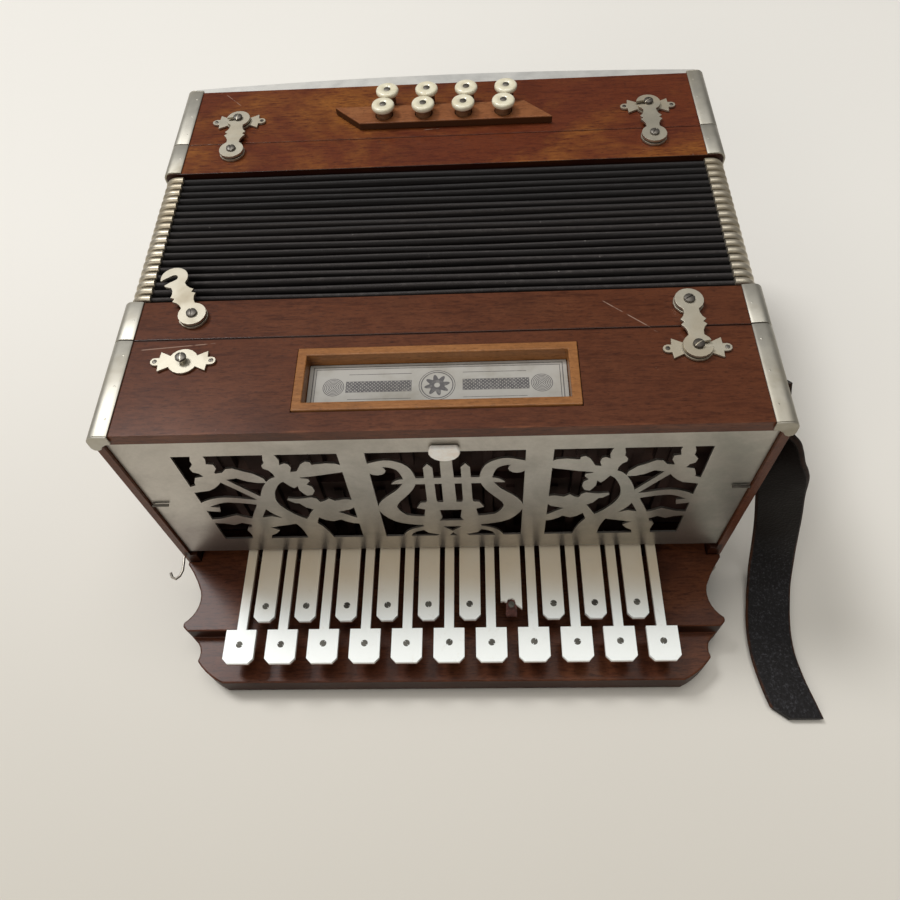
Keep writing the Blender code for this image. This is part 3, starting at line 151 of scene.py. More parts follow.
class Finish:
    """One material and the nodes behind its shader."""

    def __init__(self, name, roughness=0.5, metallic=0.0, coat=0.0, coat_roughness=0.15, specular=0.5):
        self.material = bpy.data.materials.new(name)
        self.material.use_nodes = True
        self.tree = self.material.node_tree
        self.shader = self.tree.nodes["Principled BSDF"]
        self.feed(self.shader.inputs["Roughness"], roughness)
        self.feed(self.shader.inputs["Metallic"], metallic)
        self.feed(self.shader.inputs["Coat Weight"], coat)
        self.feed(self.shader.inputs["Coat Roughness"], coat_roughness)
        self.feed(self.shader.inputs["Specular IOR Level"], specular)
        self.place = self.node("TexCoord", out="Object")
        self.x, self.y, self.z = (self.node("SeparateXYZ", {0: self.place}, out=i) for i in range(3))

    def feed(self, socket, value):
        if isinstance(value, Signal):
            self.tree.links.new(value.socket, socket)
        elif socket.type == "RGBA":
            socket.default_value = (*value[:3], 1.0)
        else:
            socket.default_value = value

    def node(self, kind, values=None, out=0, **settings):
        made = self.tree.nodes.new("ShaderNode" + kind)
        for name, value in settings.items():
            setattr(made, name, value)
        for socket, value in (values or {}).items():
            self.feed(made.inputs[socket], value)
        return Signal(self, made.outputs[out])

    def mixed(self, one, two, share):
        return self.node("Mix", {0: share, 6: one, 7: two}, out=2, data_type="RGBA")

    def shaded(self, colour, share):
        """The colour multiplied by a grey of that share."""
        grey = self.node("CombineColor", {0: share, 1: share, 2: share})
        return self.node("Mix", {0: 1.0, 6: colour, 7: grey}, out=2, data_type="RGBA", blend_type="MULTIPLY")

    def stretched(self, scale, where=None):
        return self.node("Mapping", {"Vector": where or self.place, "Scale": scale})

    def noise(self, scale, detail=2.0, rough=0.5, stretch=(1, 1, 1), where=None, bend=0.0):
        values = {"Vector": self.stretched(stretch, where), "Scale": scale, "Detail": detail}
        values |= {"Roughness": rough, "Distortion": bend}
        return self.node("TexNoise", values)

    def cells(self, scale):
        return self.node("TexVoronoi", {"Vector": self.place, "Scale": scale}, out="Distance")

    def attribute(self, name):
        return self.node("Attribute", out="Fac", attribute_name=name, attribute_type="GEOMETRY")

    def colour(self, value):
        self.feed(self.shader.inputs["Base Color"], value)

    def roughness(self, value):
        self.feed(self.shader.inputs["Roughness"], value)

    def bump(self, height, depth):
        """Relief from a 0 to 1 height, depth metres deep."""
        relief = self.node("Bump", {"Height": height, "Distance": depth}, out="Normal")
        self.feed(self.shader.inputs["Normal"], relief)

    def scratch(self, start, end, width):
        """1 on a thin straight line over X and Y, fading to 0 beside it."""
        ax, ay = start
        bx, by = end
        length = math.hypot(bx - ax, by - ay)
        ux, uy = (bx - ax) / length, (by - ay) / length
        along = (self.x - ax) * ux + (self.y - ay) * uy
        away = ((self.x - ax) * uy - (self.y - ay) * ux).size()
        inside = along.rise(-0.001, 0.001) * along.rise(length + 0.001, length - 0.001)
        return away.rise(width, width * 0.4) * inside

    def specks(self, scale, share):
        """Scattered small dots over about this share of the cells."""
        dots = self.cells(scale).rise(0.22, 0.12)
        return dots * self.noise(scale * 0.37, 0.0).rise(1 - share - 0.02, 1 - share + 0.02)


def wood(
    name,
    deep,
    middle,
    bright,
    patch=(16.0, 0.45),
    worn=(),
    seams=(),
    scratches=(),
    gloss=0.42,
    dirt=0.85,
    coat=0.45,
    painted_shade_boxes=(),
):
    """Varnished wood with short fine grain along X, and upright on the side walls.

    patch is the scale and strength of brighter clouds; worn lists rubbed edges across Y, with the side that
    the wood is on; seams lists dirty joints across Y. Each painted shade box darkens a box of space as
    painted
    shade: its limits on some axes and the share of colour that is lost.
    """
    look = Finish(name, coat=coat, coat_roughness=0.22, specular=0.10)
    side = look.x.size().rise(0.1378, 0.1392)
    flat = look.stretched((1.0, 6.0, 6.0))
    upright = look.stretched((6.0, 6.0, 1.0))
    grain_place = look.node("Mix", {0: side, 4: flat, 5: upright}, out=1, data_type="VECTOR")
    figure = look.noise(26.0, 4.0, 0.6, where=grain_place, bend=0.5)
    fibre = look.noise(150.0, 3.0, 0.65, where=grain_place)
    pores = look.noise(330.0, 1.0, 0.5, where=grain_place).rise(0.58, 0.70)
    broad = look.noise(patch[0], 4.0, 0.62, stretch=(1.0, 1.4, 1.4), bend=0.6)
    grit = look.noise(700.0, 2.0, 0.7)
    shade = look.mixed(deep, middle, (figure * 0.40 + fibre * 0.60).rise(0.30, 0.58))
    shade = look.mixed(shade, bright, broad.rise(0.44, 0.72) * patch[1] * fibre.rise(0.25, 0.60))
    shade = look.mixed(shade, [c * 0.40 for c in deep], pores * 0.45)
    shade = look.mixed(shade, [c * 0.55 for c in deep], look.noise(22.0, 3.0).rise(0.54, 0.78) * 0.40)
    shade = look.shaded(shade, 0.80 + grit * 0.40)
    rub = look.noise(170.0, 3.0, 0.7, stretch=(0.22, 1.0, 1.0))
    for edge_y, toward in worn:
        near = ((look.y - edge_y) * toward).rise(0.0013, 0.0003) * look.z.rise(TOP - 0.004, TOP - 0.001)
        shade = look.mixed(shade, [c * 1.5 for c in bright], near * rub.rise(0.46, 0.66) * 0.55)
    for seam_y in seams:
        line = (look.y - seam_y).size().rise(0.0009, 0.0003)
        shade = look.mixed(shade, [c * 0.22 for c in deep], line * dirt)
    marks = look.specks(420.0, 0.14) * 0.4
    for start, end, width in scratches:
        marks = marks.most(look.scratch(start, end, width) * look.noise(260.0, 2.0).rise(0.30, 0.55))
    shade = look.mixed(shade, (0.42, 0.29, 0.22), marks * 0.6)
    # Painted shade: each box darkens the colour of faces that sit in shade
    for limits, loss in painted_shade_boxes:
        inside = loss
        for axis, (low, high) in limits.items():
            along = getattr(look, axis)
            above = along.rise(low - 0.0003, low + 0.0001)
            inside = above * along.rise(high + 0.0003, high - 0.0001) * inside
        shade = look.mixed(shade, [c * 0.22 for c in deep], inside)
    look.colour(shade)
    look.roughness(gloss + look.noise(30.0, 3.0).rise(0.35, 0.7) * 0.14 + marks * 0.25)
    look.bump(figure * 0.4 + fibre * 0.4 + grit * 0.2 - pores * 0.4, 0.00006)
    return look.material


def metal(name, base, tarnish, roughness, amount, brush=None, metallic=1.0):
    """Plated or bare metal under a cloudy film of tarnish, pitted, and brushed where a stretch is given."""
    look = Finish(name, metallic=metallic)
    cloud = look.noise(130.0, 4.0, 0.65)
    film = look.noise(38.0, 3.0, 0.6, bend=0.5).rise(0.42, 0.72)
    shade = look.mixed(base, tarnish, film * amount)
    shade = look.shaded(shade, 0.86 + cloud * 0.26)
    pits = look.specks(650.0, 0.12)
    shade = look.mixed(shade, [c * 0.3 for c in tarnish], pits * 0.7)
    look.colour(shade)
    height = cloud * 0.5 - pits
    if brush:
        lines = look.noise(900.0, 1.0, stretch=brush)
        height = height + lines * 0.6
    look.roughness(roughness + film * 0.14 + cloud * 0.10)
    look.bump(height, 0.00003)
    return look.material


def touch_plate(name):
    """Glossy white sheet over brown wood, yellowed towards the grille under a painted shade of the case, with
    the part of the lever behind the grille painted dark as shade.
    """
    look = Finish(name)
    cloud = look.noise(60.0, 3.0)
    # Towards the grille the white turns beige: partly yellowed with age, partly painted shade that the case
    # casts on the stems
    toward = look.y.rise(-0.062, -0.034)
    white = look.mixed((0.89, 0.92, 0.89), (0.74, 0.63, 0.47), toward * (0.75 + cloud * 0.4))
    white = look.mixed(white, (0.60, 0.53, 0.42), look.noise(210.0, 4.0, 0.7).rise(0.56, 0.80) * 0.28)
    grime = look.specks(900.0, 0.16)
    white = look.mixed(white, (0.30, 0.24, 0.18), grime * 0.5)
    core = look.mixed((0.10, 0.035, 0.020), (0.20, 0.080, 0.045), look.noise(60.0, 4.0, stretch=(12, 1, 12)))
    upper = look.z.rise(KEY_TOP - 0.0021, KEY_TOP - 0.0018)
    outside = look.y.rise(FACE_Y + 0.006, FACE_Y + 0.003)
    shade = look.mixed(core, white, upper)
    # Painted shade: behind the grille, white plate and core alike turn near black, as shade inside the case
    shade = look.mixed((0.030, 0.0105, 0.0060), shade, outside)
    look.colour(shade)
    look.roughness(0.80 - upper * outside * 0.52 + cloud * 0.06)
    look.bump(look.noise(500.0, 2.0), 0.00002)
    return look.material


def ribbed_cloth(name):
    """Black bellows cloth, darker down in the folds as painted shade, grey with dust where the folds stand
    out.
    """
    look = Finish(name)
    ridge = look.attribute("ridge")
    thread = 2 * math.pi / 0.0007
    weave = (look.attribute("around") * thread).wave()
    weave = weave * (look.attribute("along") * thread).wave()
    dust = look.noise(240.0, 5.0, 0.72)
    # Painted shade: the cloth is darker the deeper it lies in a fold
    shade = look.mixed((0.0055, 0.0035, 0.0032), (0.025, 0.0195, 0.0180), ridge.rise(0.55, 1.0))
    shade = look.mixed(shade, (0.100, 0.088, 0.082), dust.rise(0.48, 0.76) * ridge.rise(0.72, 1.0) * 0.62)
    shade = look.mixed(shade, (0.26, 0.24, 0.22), look.specks(430.0, 0.26) * ridge.rise(0.6, 1.0) * 0.65)
    look.colour(shade)
    look.roughness(0.50 + dust * 0.28)
    look.bump(weave * 0.35 + dust, 0.00018)
    return look.material


def leather(name, width):
    """Black hide with a pebbled grain: low down painted lighter grey, as painted light where it lies lit on
    the floor, and flecked with dust; brown where its edges have worn.
    """
    look = Finish(name, specular=0.16)
    across = look.attribute("across")
    pebble = look.cells(900.0) + look.cells(430.0) * 0.5
    crease = look.noise(70.0, 4.0, 0.6)
    # Painted light: near the floor the hide turns lighter grey, where it lies in the light; grey flecks of
    # dust lie there too
    low = look.z.rise(0.045, 0.020)
    shade = look.mixed((0.0040, 0.0022, 0.0015), (0.0125, 0.0115, 0.0120), low * 0.75)
    shade = look.mixed(shade, (0.075, 0.074, 0.082), look.noise(800.0, 3.0, 0.8).rise(0.50, 0.70) * low * 0.6)
    rub = look.noise(120.0, 3.0, 0.7).rise(0.30, 0.60)
    edge = across.size().rise(width / 2 - 0.0014, width / 2 - 0.0005)
    shade = look.mixed(shade, (0.085, 0.030, 0.012), edge * (0.15 + rub * 0.70) * (0.25 + low * 0.75))
    shade = look.mixed(shade, (0.12, 0.10, 0.085), look.specks(500.0, 0.10) * 0.30)
    look.colour(shade)
    look.roughness(0.48 + crease * 0.18 + edge * 0.1)
    look.bump(pebble * 0.6 + crease * 0.6, 0.00022)
    return look.material


def mottled(name, base, other, roughness, scale=120.0, depth=0.00003, coat=0.0):
    """One colour drifting into another in small clouds, for ivory, pearl and rough wood."""
    look = Finish(name, coat=coat)
    cloud = look.noise(scale, 4.0, 0.6, bend=0.4)
    look.colour(look.mixed(base, other, cloud.rise(0.35, 0.70)))
    look.roughness(roughness + look.noise(scale * 2, 2.0) * 0.12)
    look.bump(cloud, depth)
    return look.material


def printed_card(name):
    """Pale paper with a made-up ornament: a double border, a centre rosette and two diapered bars."""
    look = Finish(name, roughness=0.62)
    card_y = FACE_Y + 0.010 + 0.016
    u, v = look.x, look.y - card_y
    au, av = u.size(), v.size()
    half_u, half_v = 0.0525, 0.0105

    def line(value, at, width):
        return (value - at).size().rise(width, width * 0.55)

    inside = au.rise(half_u + 0.0003, half_u) * av.rise(half_v + 0.0003, half_v)
    border = line(au, half_u, 0.00035).most(line(av, half_v, 0.00035)) * inside
    fine = line(au, half_u - 0.0012, 0.0002) * av.rise(half_v - 0.0009, half_v - 0.0011)
    fine = fine.most(line(av, half_v - 0.0012, 0.0002) * au.rise(half_u - 0.0009, half_u - 0.0011))
    turn = look.node("Math", {0: v, 1: u}, operation="ARCTAN2")
    from_middle = u * u + v * v
    away = from_middle.maths("SQRT", from_middle)
    petals = 0.0042 + (turn * 8.0).wave() * 0.0011
    rosette = (away - petals).rise(0.00025, -0.00005) * away.rise(0.0010, 0.0014)
    rings = line(away, 0.0066, 0.0003).most(line(away, 0.0075, 0.0002))
    bar = (au - 0.0245).size().rise(0.0140, 0.0137) * av.rise(0.0030, 0.0027)
    mesh_step = math.pi / 0.0016
    lattice = ((u + v) * mesh_step).wave() * ((u - v) * mesh_step).wave()
    diaper = bar * lattice.size().rise(0.88, 0.72)
    from_cap = (au - 0.0435) * (au - 0.0435) + v * v
    caps = from_cap.maths("SQRT", from_cap)
    fan = caps.rise(0.0050, 0.0047) * (caps * 9000.0).wave().rise(-0.2, 0.3)
    ink = border.most(fine).most(rosette).most(rings).most(diaper).most(fan)
    rules = line(av, 0.0064, 0.00018) * au.rise(0.0105, 0.0110) * au.rise(0.0375, 0.0370)
    ink = ink.most(rules) * (0.72 + look.noise(700.0, 2.0).rise(0.25, 0.55) * 0.28)
    age = look.noise(55.0, 4.0, 0.6)
    paper = look.mixed((0.40, 0.385, 0.350), (0.30, 0.280, 0.235), age.rise(0.40, 0.72))
    foxing = look.noise(34.0, 5.0, 0.7).rise(0.62, 0.80)
    paper = look.mixed(paper, (0.30, 0.23, 0.155), foxing * 0.45)
    look.colour(look.mixed(paper, (0.055, 0.050, 0.055), ink * 0.9))
    look.bump(look.noise(900.0, 3.0), 0.00003)
    return look.material


def grille_metal(name):
    """Dull sheet metal: cloudy grey-beige, smooth enough to mirror the keys softly, with painted shade to the
    right and at the lower left, and dark upright streaks low down as painted reflections of the gaps between
    the keys.
    """
    look = Finish(name, metallic=0.90)
    cloud = look.noise(30.0, 5.0, 0.66, bend=0.5)
    fine = look.noise(520.0, 3.0, 0.7)
    shade = look.mixed((0.52, 0.485, 0.435), (0.40, 0.370, 0.330), cloud.rise(0.36, 0.70))
    # Painted shade at the lower left: the shadow of the case's left wall and a painted reflection of the dark
    # fingerboard
    painted_shade_low_left = (look.x * -1.0 - look.z * 2.0 + 0.03).rise(-0.01, 0.07)
    shade = look.mixed(shade, (0.22, 0.175, 0.165), painted_shade_low_left * 0.5)
    # Painted shade: the sheet is darker to the right, in patches
    patches = look.noise(70.0, 3.0, 0.6).rise(0.4, 0.7)
    shade = look.mixed(shade, (0.33, 0.325, 0.285), look.x.rise(0.02, 0.12) * (0.35 + patches * 0.5))
    # Painted reflection: dark upright streaks low down stand for the gaps between the keys mirrored in the
    # sheet
    painted_reflection_streak = look.noise(55.0, 2.0, stretch=(1.0, 1.0, 0.06)).rise(0.56, 0.72)
    shade = look.mixed(shade, (0.20, 0.195, 0.175), painted_reflection_streak * look.z.rise(0.12, 0.06) * 0.35)
    top = look.z.rise(0.1345, 0.1382) * look.noise(90.0, 3.0, stretch=(0.3, 1, 1)).rise(0.35, 0.6)
    shade = look.mixed(shade, (0.62, 0.58, 0.52), top * 0.4)
    shade = look.mixed(shade, (0.22, 0.19, 0.16), look.specks(600.0, 0.16) * 0.5)
    look.colour(look.shaded(shade, 0.88 + fine * 0.24))
    look.roughness(0.27 + cloud * 0.14)
    look.bump(fine * 0.4 + cloud, 0.00004)
    return look.material


# Woods from deep to bright, and scratches from end to end with their width
MAHOGANY = ((0.056, 0.0145, 0.0055), (0.102, 0.0300, 0.0118), (0.156, 0.0535, 0.0220))
REDDER = ((0.070, 0.0125, 0.0052), (0.124, 0.0275, 0.0090), (0.270, 0.0960, 0.0180))
TREBLE_SCRATCHES = (
    ((0.0716, 0.0399), (0.0897, 0.0247), 0.00032),
    ((-0.1270, 0.0195), (-0.0950, 0.0222), 0.00035),
    ((0.0905, 0.0232), (0.0922, 0.0221), 0.00030),
    ((0.0300, 0.0020), (0.0345, -0.0010), 0.00022),
)
BASS_SCRATCHES = (
    ((-0.1180, 0.1982), (-0.1089, 0.1883), 0.00022),
    ((-0.0085, 0.1615), (0.0010, 0.1622), 0.00030),
    ((0.0480, 0.1720), (0.0510, 0.1735), 0.00025),
)
# The lower front of the treble case below the grille, painted darker as painted shade
FRONT_FOOT_SHADE_BOX = {"x": (-0.1385, 0.1385), "y": (FACE_Y - 0.001, FACE_Y + 0.012), "z": (-0.001, 0.0335)}

LOOKS = {
    "treble": wood(
        "treble_mahogany",
        *MAHOGANY,
        worn=((FACE_Y, 1),),
        coat=0.36,
        seams=(TREBLE_SEAM_Y,),
        scratches=TREBLE_SCRATCHES,
        painted_shade_boxes=((FRONT_FOOT_SHADE_BOX, 0.75),),
    ),
    "bass": wood(
        "bass_mahogany",
        *REDDER,
        patch=(13.0, 0.95),
        worn=((BASS_FRAME_Y, 1),),
        seams=(BASS_SEAM_Y,),
        scratches=BASS_SCRATCHES,
        dirt=0.30,
        # Painted shade on the bass frame's face towards the bellows
        painted_shade_boxes=(({"y": (BASS_FRAME_Y - 0.001, BASS_FRAME_Y + 0.0002)}, 0.92),),
    ),
    "board": wood(
        "fingerboard_mahogany",
        (0.042, 0.0115, 0.0050),
        (0.084, 0.0240, 0.0095),
        (0.170, 0.0590, 0.0225),
        patch=(20.0, 0.6),
        gloss=0.56,
        coat=0.16,
        # Painted shade on the fingerboard below its lower level and on the riser of its step
        painted_shade_boxes=(
            ({"z": (-0.001, BOARD_TOP - 0.0007)}, 0.72),
            ({"z": (BOARD_TOP + 0.0005, CHEEK_TOP - 0.0007)}, 0.80),
        ),
    ),
    "pearwood": wood(
        "bass_board_wood",
        (0.185, 0.063, 0.022),
        (0.245, 0.089, 0.033),
        (0.330, 0.138, 0.053),
        patch=(30.0, 0.5),
        # Painted shade on the sides of the bass button board
        painted_shade_boxes=(({"z": (TOP, TOP + 0.0036)}, 0.94),),
    ),
    "bead": wood("label_bead_wood", (0.215, 0.085, 0.026), (0.30, 0.125, 0.040), (0.39, 0.175, 0.062)),
    "stem": wood("button_stem_wood", (0.085, 0.032, 0.016), (0.200, 0.092, 0.042), (0.34, 0.17, 0.080)),
    "inner": mottled("inner_board_wood", (0.030, 0.0115, 0.0075), (0.055, 0.0230, 0.0135), 0.75),
    "nickel": metal("latch_nickel", (0.56, 0.520, 0.425), (0.40, 0.335, 0.235), 0.46, 0.6),
    "trim": metal("corner_trim_nickel", (0.54, 0.515, 0.450), (0.37, 0.330, 0.250), 0.48, 0.6, (1, 0.02, 1)),
    "guard": metal("bellows_guard_metal", (0.62, 0.56, 0.45), (0.36, 0.30, 0.20), 0.36, 0.7, metallic=0.8),
    "steel": metal("screw_steel", (0.17, 0.155, 0.135), (0.055, 0.045, 0.036), 0.42, 0.8, metallic=0.85),
    "dark_steel": metal(
        "key_screw_steel", (0.105, 0.100, 0.085), (0.040, 0.034, 0.027), 0.50, 0.8, metallic=0.7
    ),
    "wire": metal("wire_steel", (0.34, 0.31, 0.27), (0.20, 0.14, 0.09), 0.38, 0.6),
    "cover": metal("end_cover_metal", (0.80, 0.79, 0.75), (0.58, 0.56, 0.52), 0.42, 0.5, metallic=0.7),
    "grille": grille_metal("grille_sheet_metal"),
    "touch": touch_plate("key_touch"),
    "ivory": mottled("button_ivory", (0.84, 0.79, 0.61), (0.74, 0.67, 0.48), 0.24, 260.0, coat=0.3),
    "pearl": mottled("pearl_tab", (1.0, 0.98, 0.93), (0.93, 0.83, 0.73), 0.18, 210.0, coat=0.8),
    "card": printed_card("label_paper"),
    "cloth": ribbed_cloth("bellows_cloth"),
    "shoulder": leather("shoulder_leather", 0.0225),
    "hand": leather("hand_leather", 0.036),
    "stub": mottled("broken_core_wood", (0.115, 0.036, 0.026), (0.045, 0.014, 0.010), 0.7, 500.0, 0.0003),
}


# Modelling


def finished(name, mesh, look, body, stands_for=(), smooth=35.0, blend=False):
    """Turns a bmesh into a piece that rides on its body."""
    data = bpy.data.meshes.new(name)
    mesh.to_mesh(data)
    mesh.free()
    data.materials.append(LOOKS[look])
    data.shade_smooth()
    data.set_sharp_from_angle(angle=math.radians(smooth))
    made = bpy.data.objects.new(name, data)
    bpy.context.scene.collection.objects.link(made)
    if blend:
        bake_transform(made, "treble_end", "bass_end", start=(0, BELLOWS_Y, 0), end=(0, BASS_FRAME_Y, 0))
    else:
        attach(made, body)
    if stands_for:
        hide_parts(*stands_for)
    return made


def bevelled(mesh, width, segments=2, angle=40.0):
    """Eases the edges that are sharper than the angle."""
    sharp = [e for e in mesh.edges if e.is_manifold and e.calc_face_angle() > math.radians(angle)]
    bmesh.ops.bevel(
        mesh,
        geom=sharp,
        offset=width,
        offset_type="OFFSET",
        segments=segments,
        profile=0.5,
        affect="EDGES",
        clamp_overlap=True,
        material=-1,
    )
    return mesh


def softened(node, look, width, segments=2, angle=40.0):
    """A merged copy of a solid with its edges eased, standing for the solid."""
    mesh = bmesh.new()
    mesh.from_mesh(NODES[node].data)
    bmesh.ops.remove_doubles(mesh, verts=mesh.verts, dist=1e-6)
    limit = math.radians(0.5)
    bmesh.ops.dissolve_limit(mesh, angle_limit=limit, verts=mesh.verts, edges=mesh.edges)
    bevelled(mesh, width, segments, angle)
    made = finished(node + "_eased", mesh, look, BODY_OF[node], (node,))
    even = made.modifiers.new("even_shading", "WEIGHTED_NORMAL")
    even.weight = 100
    even.keep_sharp = True


def verts_of(geometry):
    return [part for part in geometry if isinstance(part, bmesh.types.BMVert)]


def edges_of(geometry):
    return [part for part in geometry if isinstance(part, bmesh.types.BMEdge)]


def extruded(outline, start, end):
    """A slab with this outline over X and Z, from start to end along Y."""
    mesh = bmesh.new()
    face = mesh.faces.new([mesh.verts.new((x, start, z)) for x, z in outline])
    raised = bmesh.ops.extrude_face_region(mesh, geom=[face])["geom"]
    bmesh.ops.translate(mesh, vec=(0, end - start, 0), verts=verts_of(raised))
    bmesh.ops.recalc_face_normals(mesh, faces=mesh.faces[:])
    return mesh


def block(low, high):
    """A box between two corners."""
    mesh = bmesh.new()
    bmesh.ops.create_cube(mesh, size=1.0)
    bmesh.ops.scale(mesh, vec=Vector(high) - Vector(low), verts=mesh.verts)
    bmesh.ops.translate(mesh, vec=(Vector(low) + Vector(high)) / 2, verts=mesh.verts)
    return mesh


def turned(profile, centre, axis=(0, 0, 1), steps=40):
    """A turned solid from (radius, height) pairs, its axis through centre."""
    mesh = bmesh.new()
    verts = [mesh.verts.new((radius, 0, height)) for radius, height in profile]
    edges = [mesh.edges.new(pair) for pair in zip(verts, verts[1:])]
    bmesh.ops.spin(
        mesh,
        geom=verts + edges,
        cent=(0, 0, 0),
        axis=(0, 0, 1),
        angle=2 * math.pi,
        steps=steps,
        use_merge=True,
    )
    bmesh.ops.remove_doubles(mesh, verts=mesh.verts, dist=1e-7)
    bmesh.ops.recalc_face_normals(mesh, faces=mesh.faces[:])
    turn = Vector((0, 0, 1)).rotation_difference(Vector(axis)).to_matrix().to_4x4()
    bmesh.ops.transform(mesh, matrix=Matrix.Translation(centre) @ turn, verts=mesh.verts)
    return mesh


def swept(section, frames, caps=True):
    """A closed section carried through a list of matrices.

    Each point keeps how far along and around the section it lies, and how far across from the middle.
    """
    mesh = bmesh.new()
    along = mesh.verts.layers.float.new("along")
    around = mesh.verts.layers.float.new("around")
    across = mesh.verts.layers.float.new("across")
    ring = [mesh.verts.new(p) for p in section]
    walked = 0.0
    for here, before in zip(ring, [ring[0], *ring]):
        walked += (here.co - before.co).length
        here[around] = walked
        here[across] = here.co.x
    edges = [mesh.edges.new(pair) for pair in zip(ring, ring[1:] + ring[:1])]
    if caps:
        mesh.faces.new(ring[::-1])
    bmesh.ops.transform(mesh, matrix=frames[0], verts=ring)
    distance = 0.0
    for last, following in zip(frames, frames[1:]):
        raised = bmesh.ops.extrude_edge_only(mesh, edges=edges)["geom"]
        edges, ring = edges_of(raised), verts_of(raised)
        bmesh.ops.transform(mesh, matrix=following @ last.inverted(), verts=ring)
        distance += (following.translation - last.translation).length
        for vert in ring:
            vert[along] = distance
    if caps:
        bmesh.ops.contextual_create(mesh, geom=edges)
    bmesh.ops.recalc_face_normals(mesh, faces=mesh.faces[:])
    return mesh


def joined(meshes):
    """One bmesh that holds several, which are used up."""
    whole = bmesh.new()
    for mesh in meshes:
        data = bpy.data.meshes.new("part")
        mesh.to_mesh(data)
        mesh.free()
        whole.from_mesh(data)
        bpy.data.meshes.remove(data)
    return whole


def slotted_head(centre, radius, height, turn, slot, depth, axis=(0, 0, 1)):
    """A low domed screw head with its slot, standing on a surface at centre."""
    profile = [(0, -0.0004), (radius * 0.96, -0.0004), (radius, 0), (radius * 0.93, height * 0.55)]
    profile += [(radius * 0.62, height * 0.92), (0, height)]
    mesh = turned(profile, (0, 0, 0), steps=28)
    for side in (-1, 1):
        geom = mesh.verts[:] + mesh.edges[:] + mesh.faces[:]
        bmesh.ops.bisect_plane(mesh, geom=geom, plane_co=(side * slot / 2, 0, 0), plane_no=(1, 0, 0))
    floor = [f for f in mesh.faces if abs(f.calc_center_median().x) < slot / 2 and f.normal.z > 0.2]
    lowered = bmesh.ops.extrude_face_region(mesh, geom=floor)["geom"]
    bmesh.ops.translate(mesh, vec=(0, 0, -depth), verts=verts_of(lowered))
    bmesh.ops.delete(mesh, geom=[f for f in floor if f.is_valid], context="FACES_ONLY")
    bmesh.ops.rotate(mesh, cent=(0, 0, 0), matrix=Matrix.Rotation(turn, 3, "Z"), verts=mesh.verts)
    tip = Vector((0, 0, 1)).rotation_difference(Vector(axis)).to_matrix().to_4x4()
    bmesh.ops.transform(mesh, matrix=Matrix.Translation(centre) @ tip, verts=mesh.verts)
    return mesh


# Solids whose edges are eased
softened("treble_case", "treble", 0.0005)
softened("treble_frame", "treble", 0.0004)
softened("bass_frame", "bass", 0.00022)
softened("bass_case", "bass", 0.00022)
softened("fingerboard", "board", 0.0008, segments=3)
softened("bass_button_board", "pearwood", 0.0004)
softened("label_frame", "bead", 0.0005, segments=3)
softened("grille_pull", "pearl", 0.0007, segments=3)
softened("bass_end_cover", "cover", 0.0008, segments=3)

# Solids that keep their own mesh
for node, look in (
    ("action_board", "inner"),
    ("treble_reed_block", "inner"),
    ("bass_reed_block", "inner"),
    ("key_axle", "wire"),
    ("key_springs", "wire"),
    ("grille", "grille"),
    ("grille_pin_left", "steel"),
    ("grille_pin_right", "steel"),
    ("label_card", "card"),
):
    NODES[node].data.materials.clear()
    NODES[node].data.materials.append(LOOKS[look])


# Keys


def row_places(count):
    """The x of each key in a centred row."""
    return [(i - (count - 1) / 2) * KEY_PITCH for i in range(count)]


OUTER_SCREW_Y = FACE_Y - 0.048
INNER_SCREW_Y = FACE_Y - 0.0286
BARE_CORE_DROP = 0.0013
turns = random.Random(4)
for row, count, screw_y in (("outer", OUTER_KEYS, OUTER_SCREW_Y), ("inner", INNER_KEYS, INNER_SCREW_Y)):
    for number, x in enumerate(row_places(count), 1):
        key = f"{row}_key_{number:02d}"
        softened(key, "touch", 0.00035, angle=50.0)
        centre = (x + turns.uniform(-0.0002, 0.0002), screw_y + turns.uniform(-0.0002, 0.0002), KEY_TOP)
        if row == "inner" and number == BROKEN_KEY:
            centre = (x, screw_y, KEY_TOP - BARE_CORE_DROP)
        head = slotted_head(centre, 0.00165, 0.00022, turns.uniform(0, math.pi), 0.0003, 0.0002)
        finished(f"{key}_screw", head, "dark_steel", key)

# The wooden core left where the broken key's plate is gone, its front splintered
CORE_HALF_W = 0.0026
SPLINTERED_Y = -0.0545
broken_x = row_places(INNER_KEYS)[BROKEN_KEY - 1]
stub = block((broken_x - CORE_HALF_W, -0.0585, 0.0256), (broken_x + CORE_HALF_W, -0.0495, 0.0285))
bmesh.ops.subdivide_edges(stub, edges=stub.edges[:], cuts=5, use_grid_fill=True)
for vert in stub.verts:
    if vert.co.y < SPLINTERED_Y:
        vert.co += Vector([turns.uniform(-0.00035, 0.00035) for _ in range(3)])
finished("broken_key_core", stub, "stub", f"inner_key_{BROKEN_KEY:02d}", smooth=25.0)


# Latches

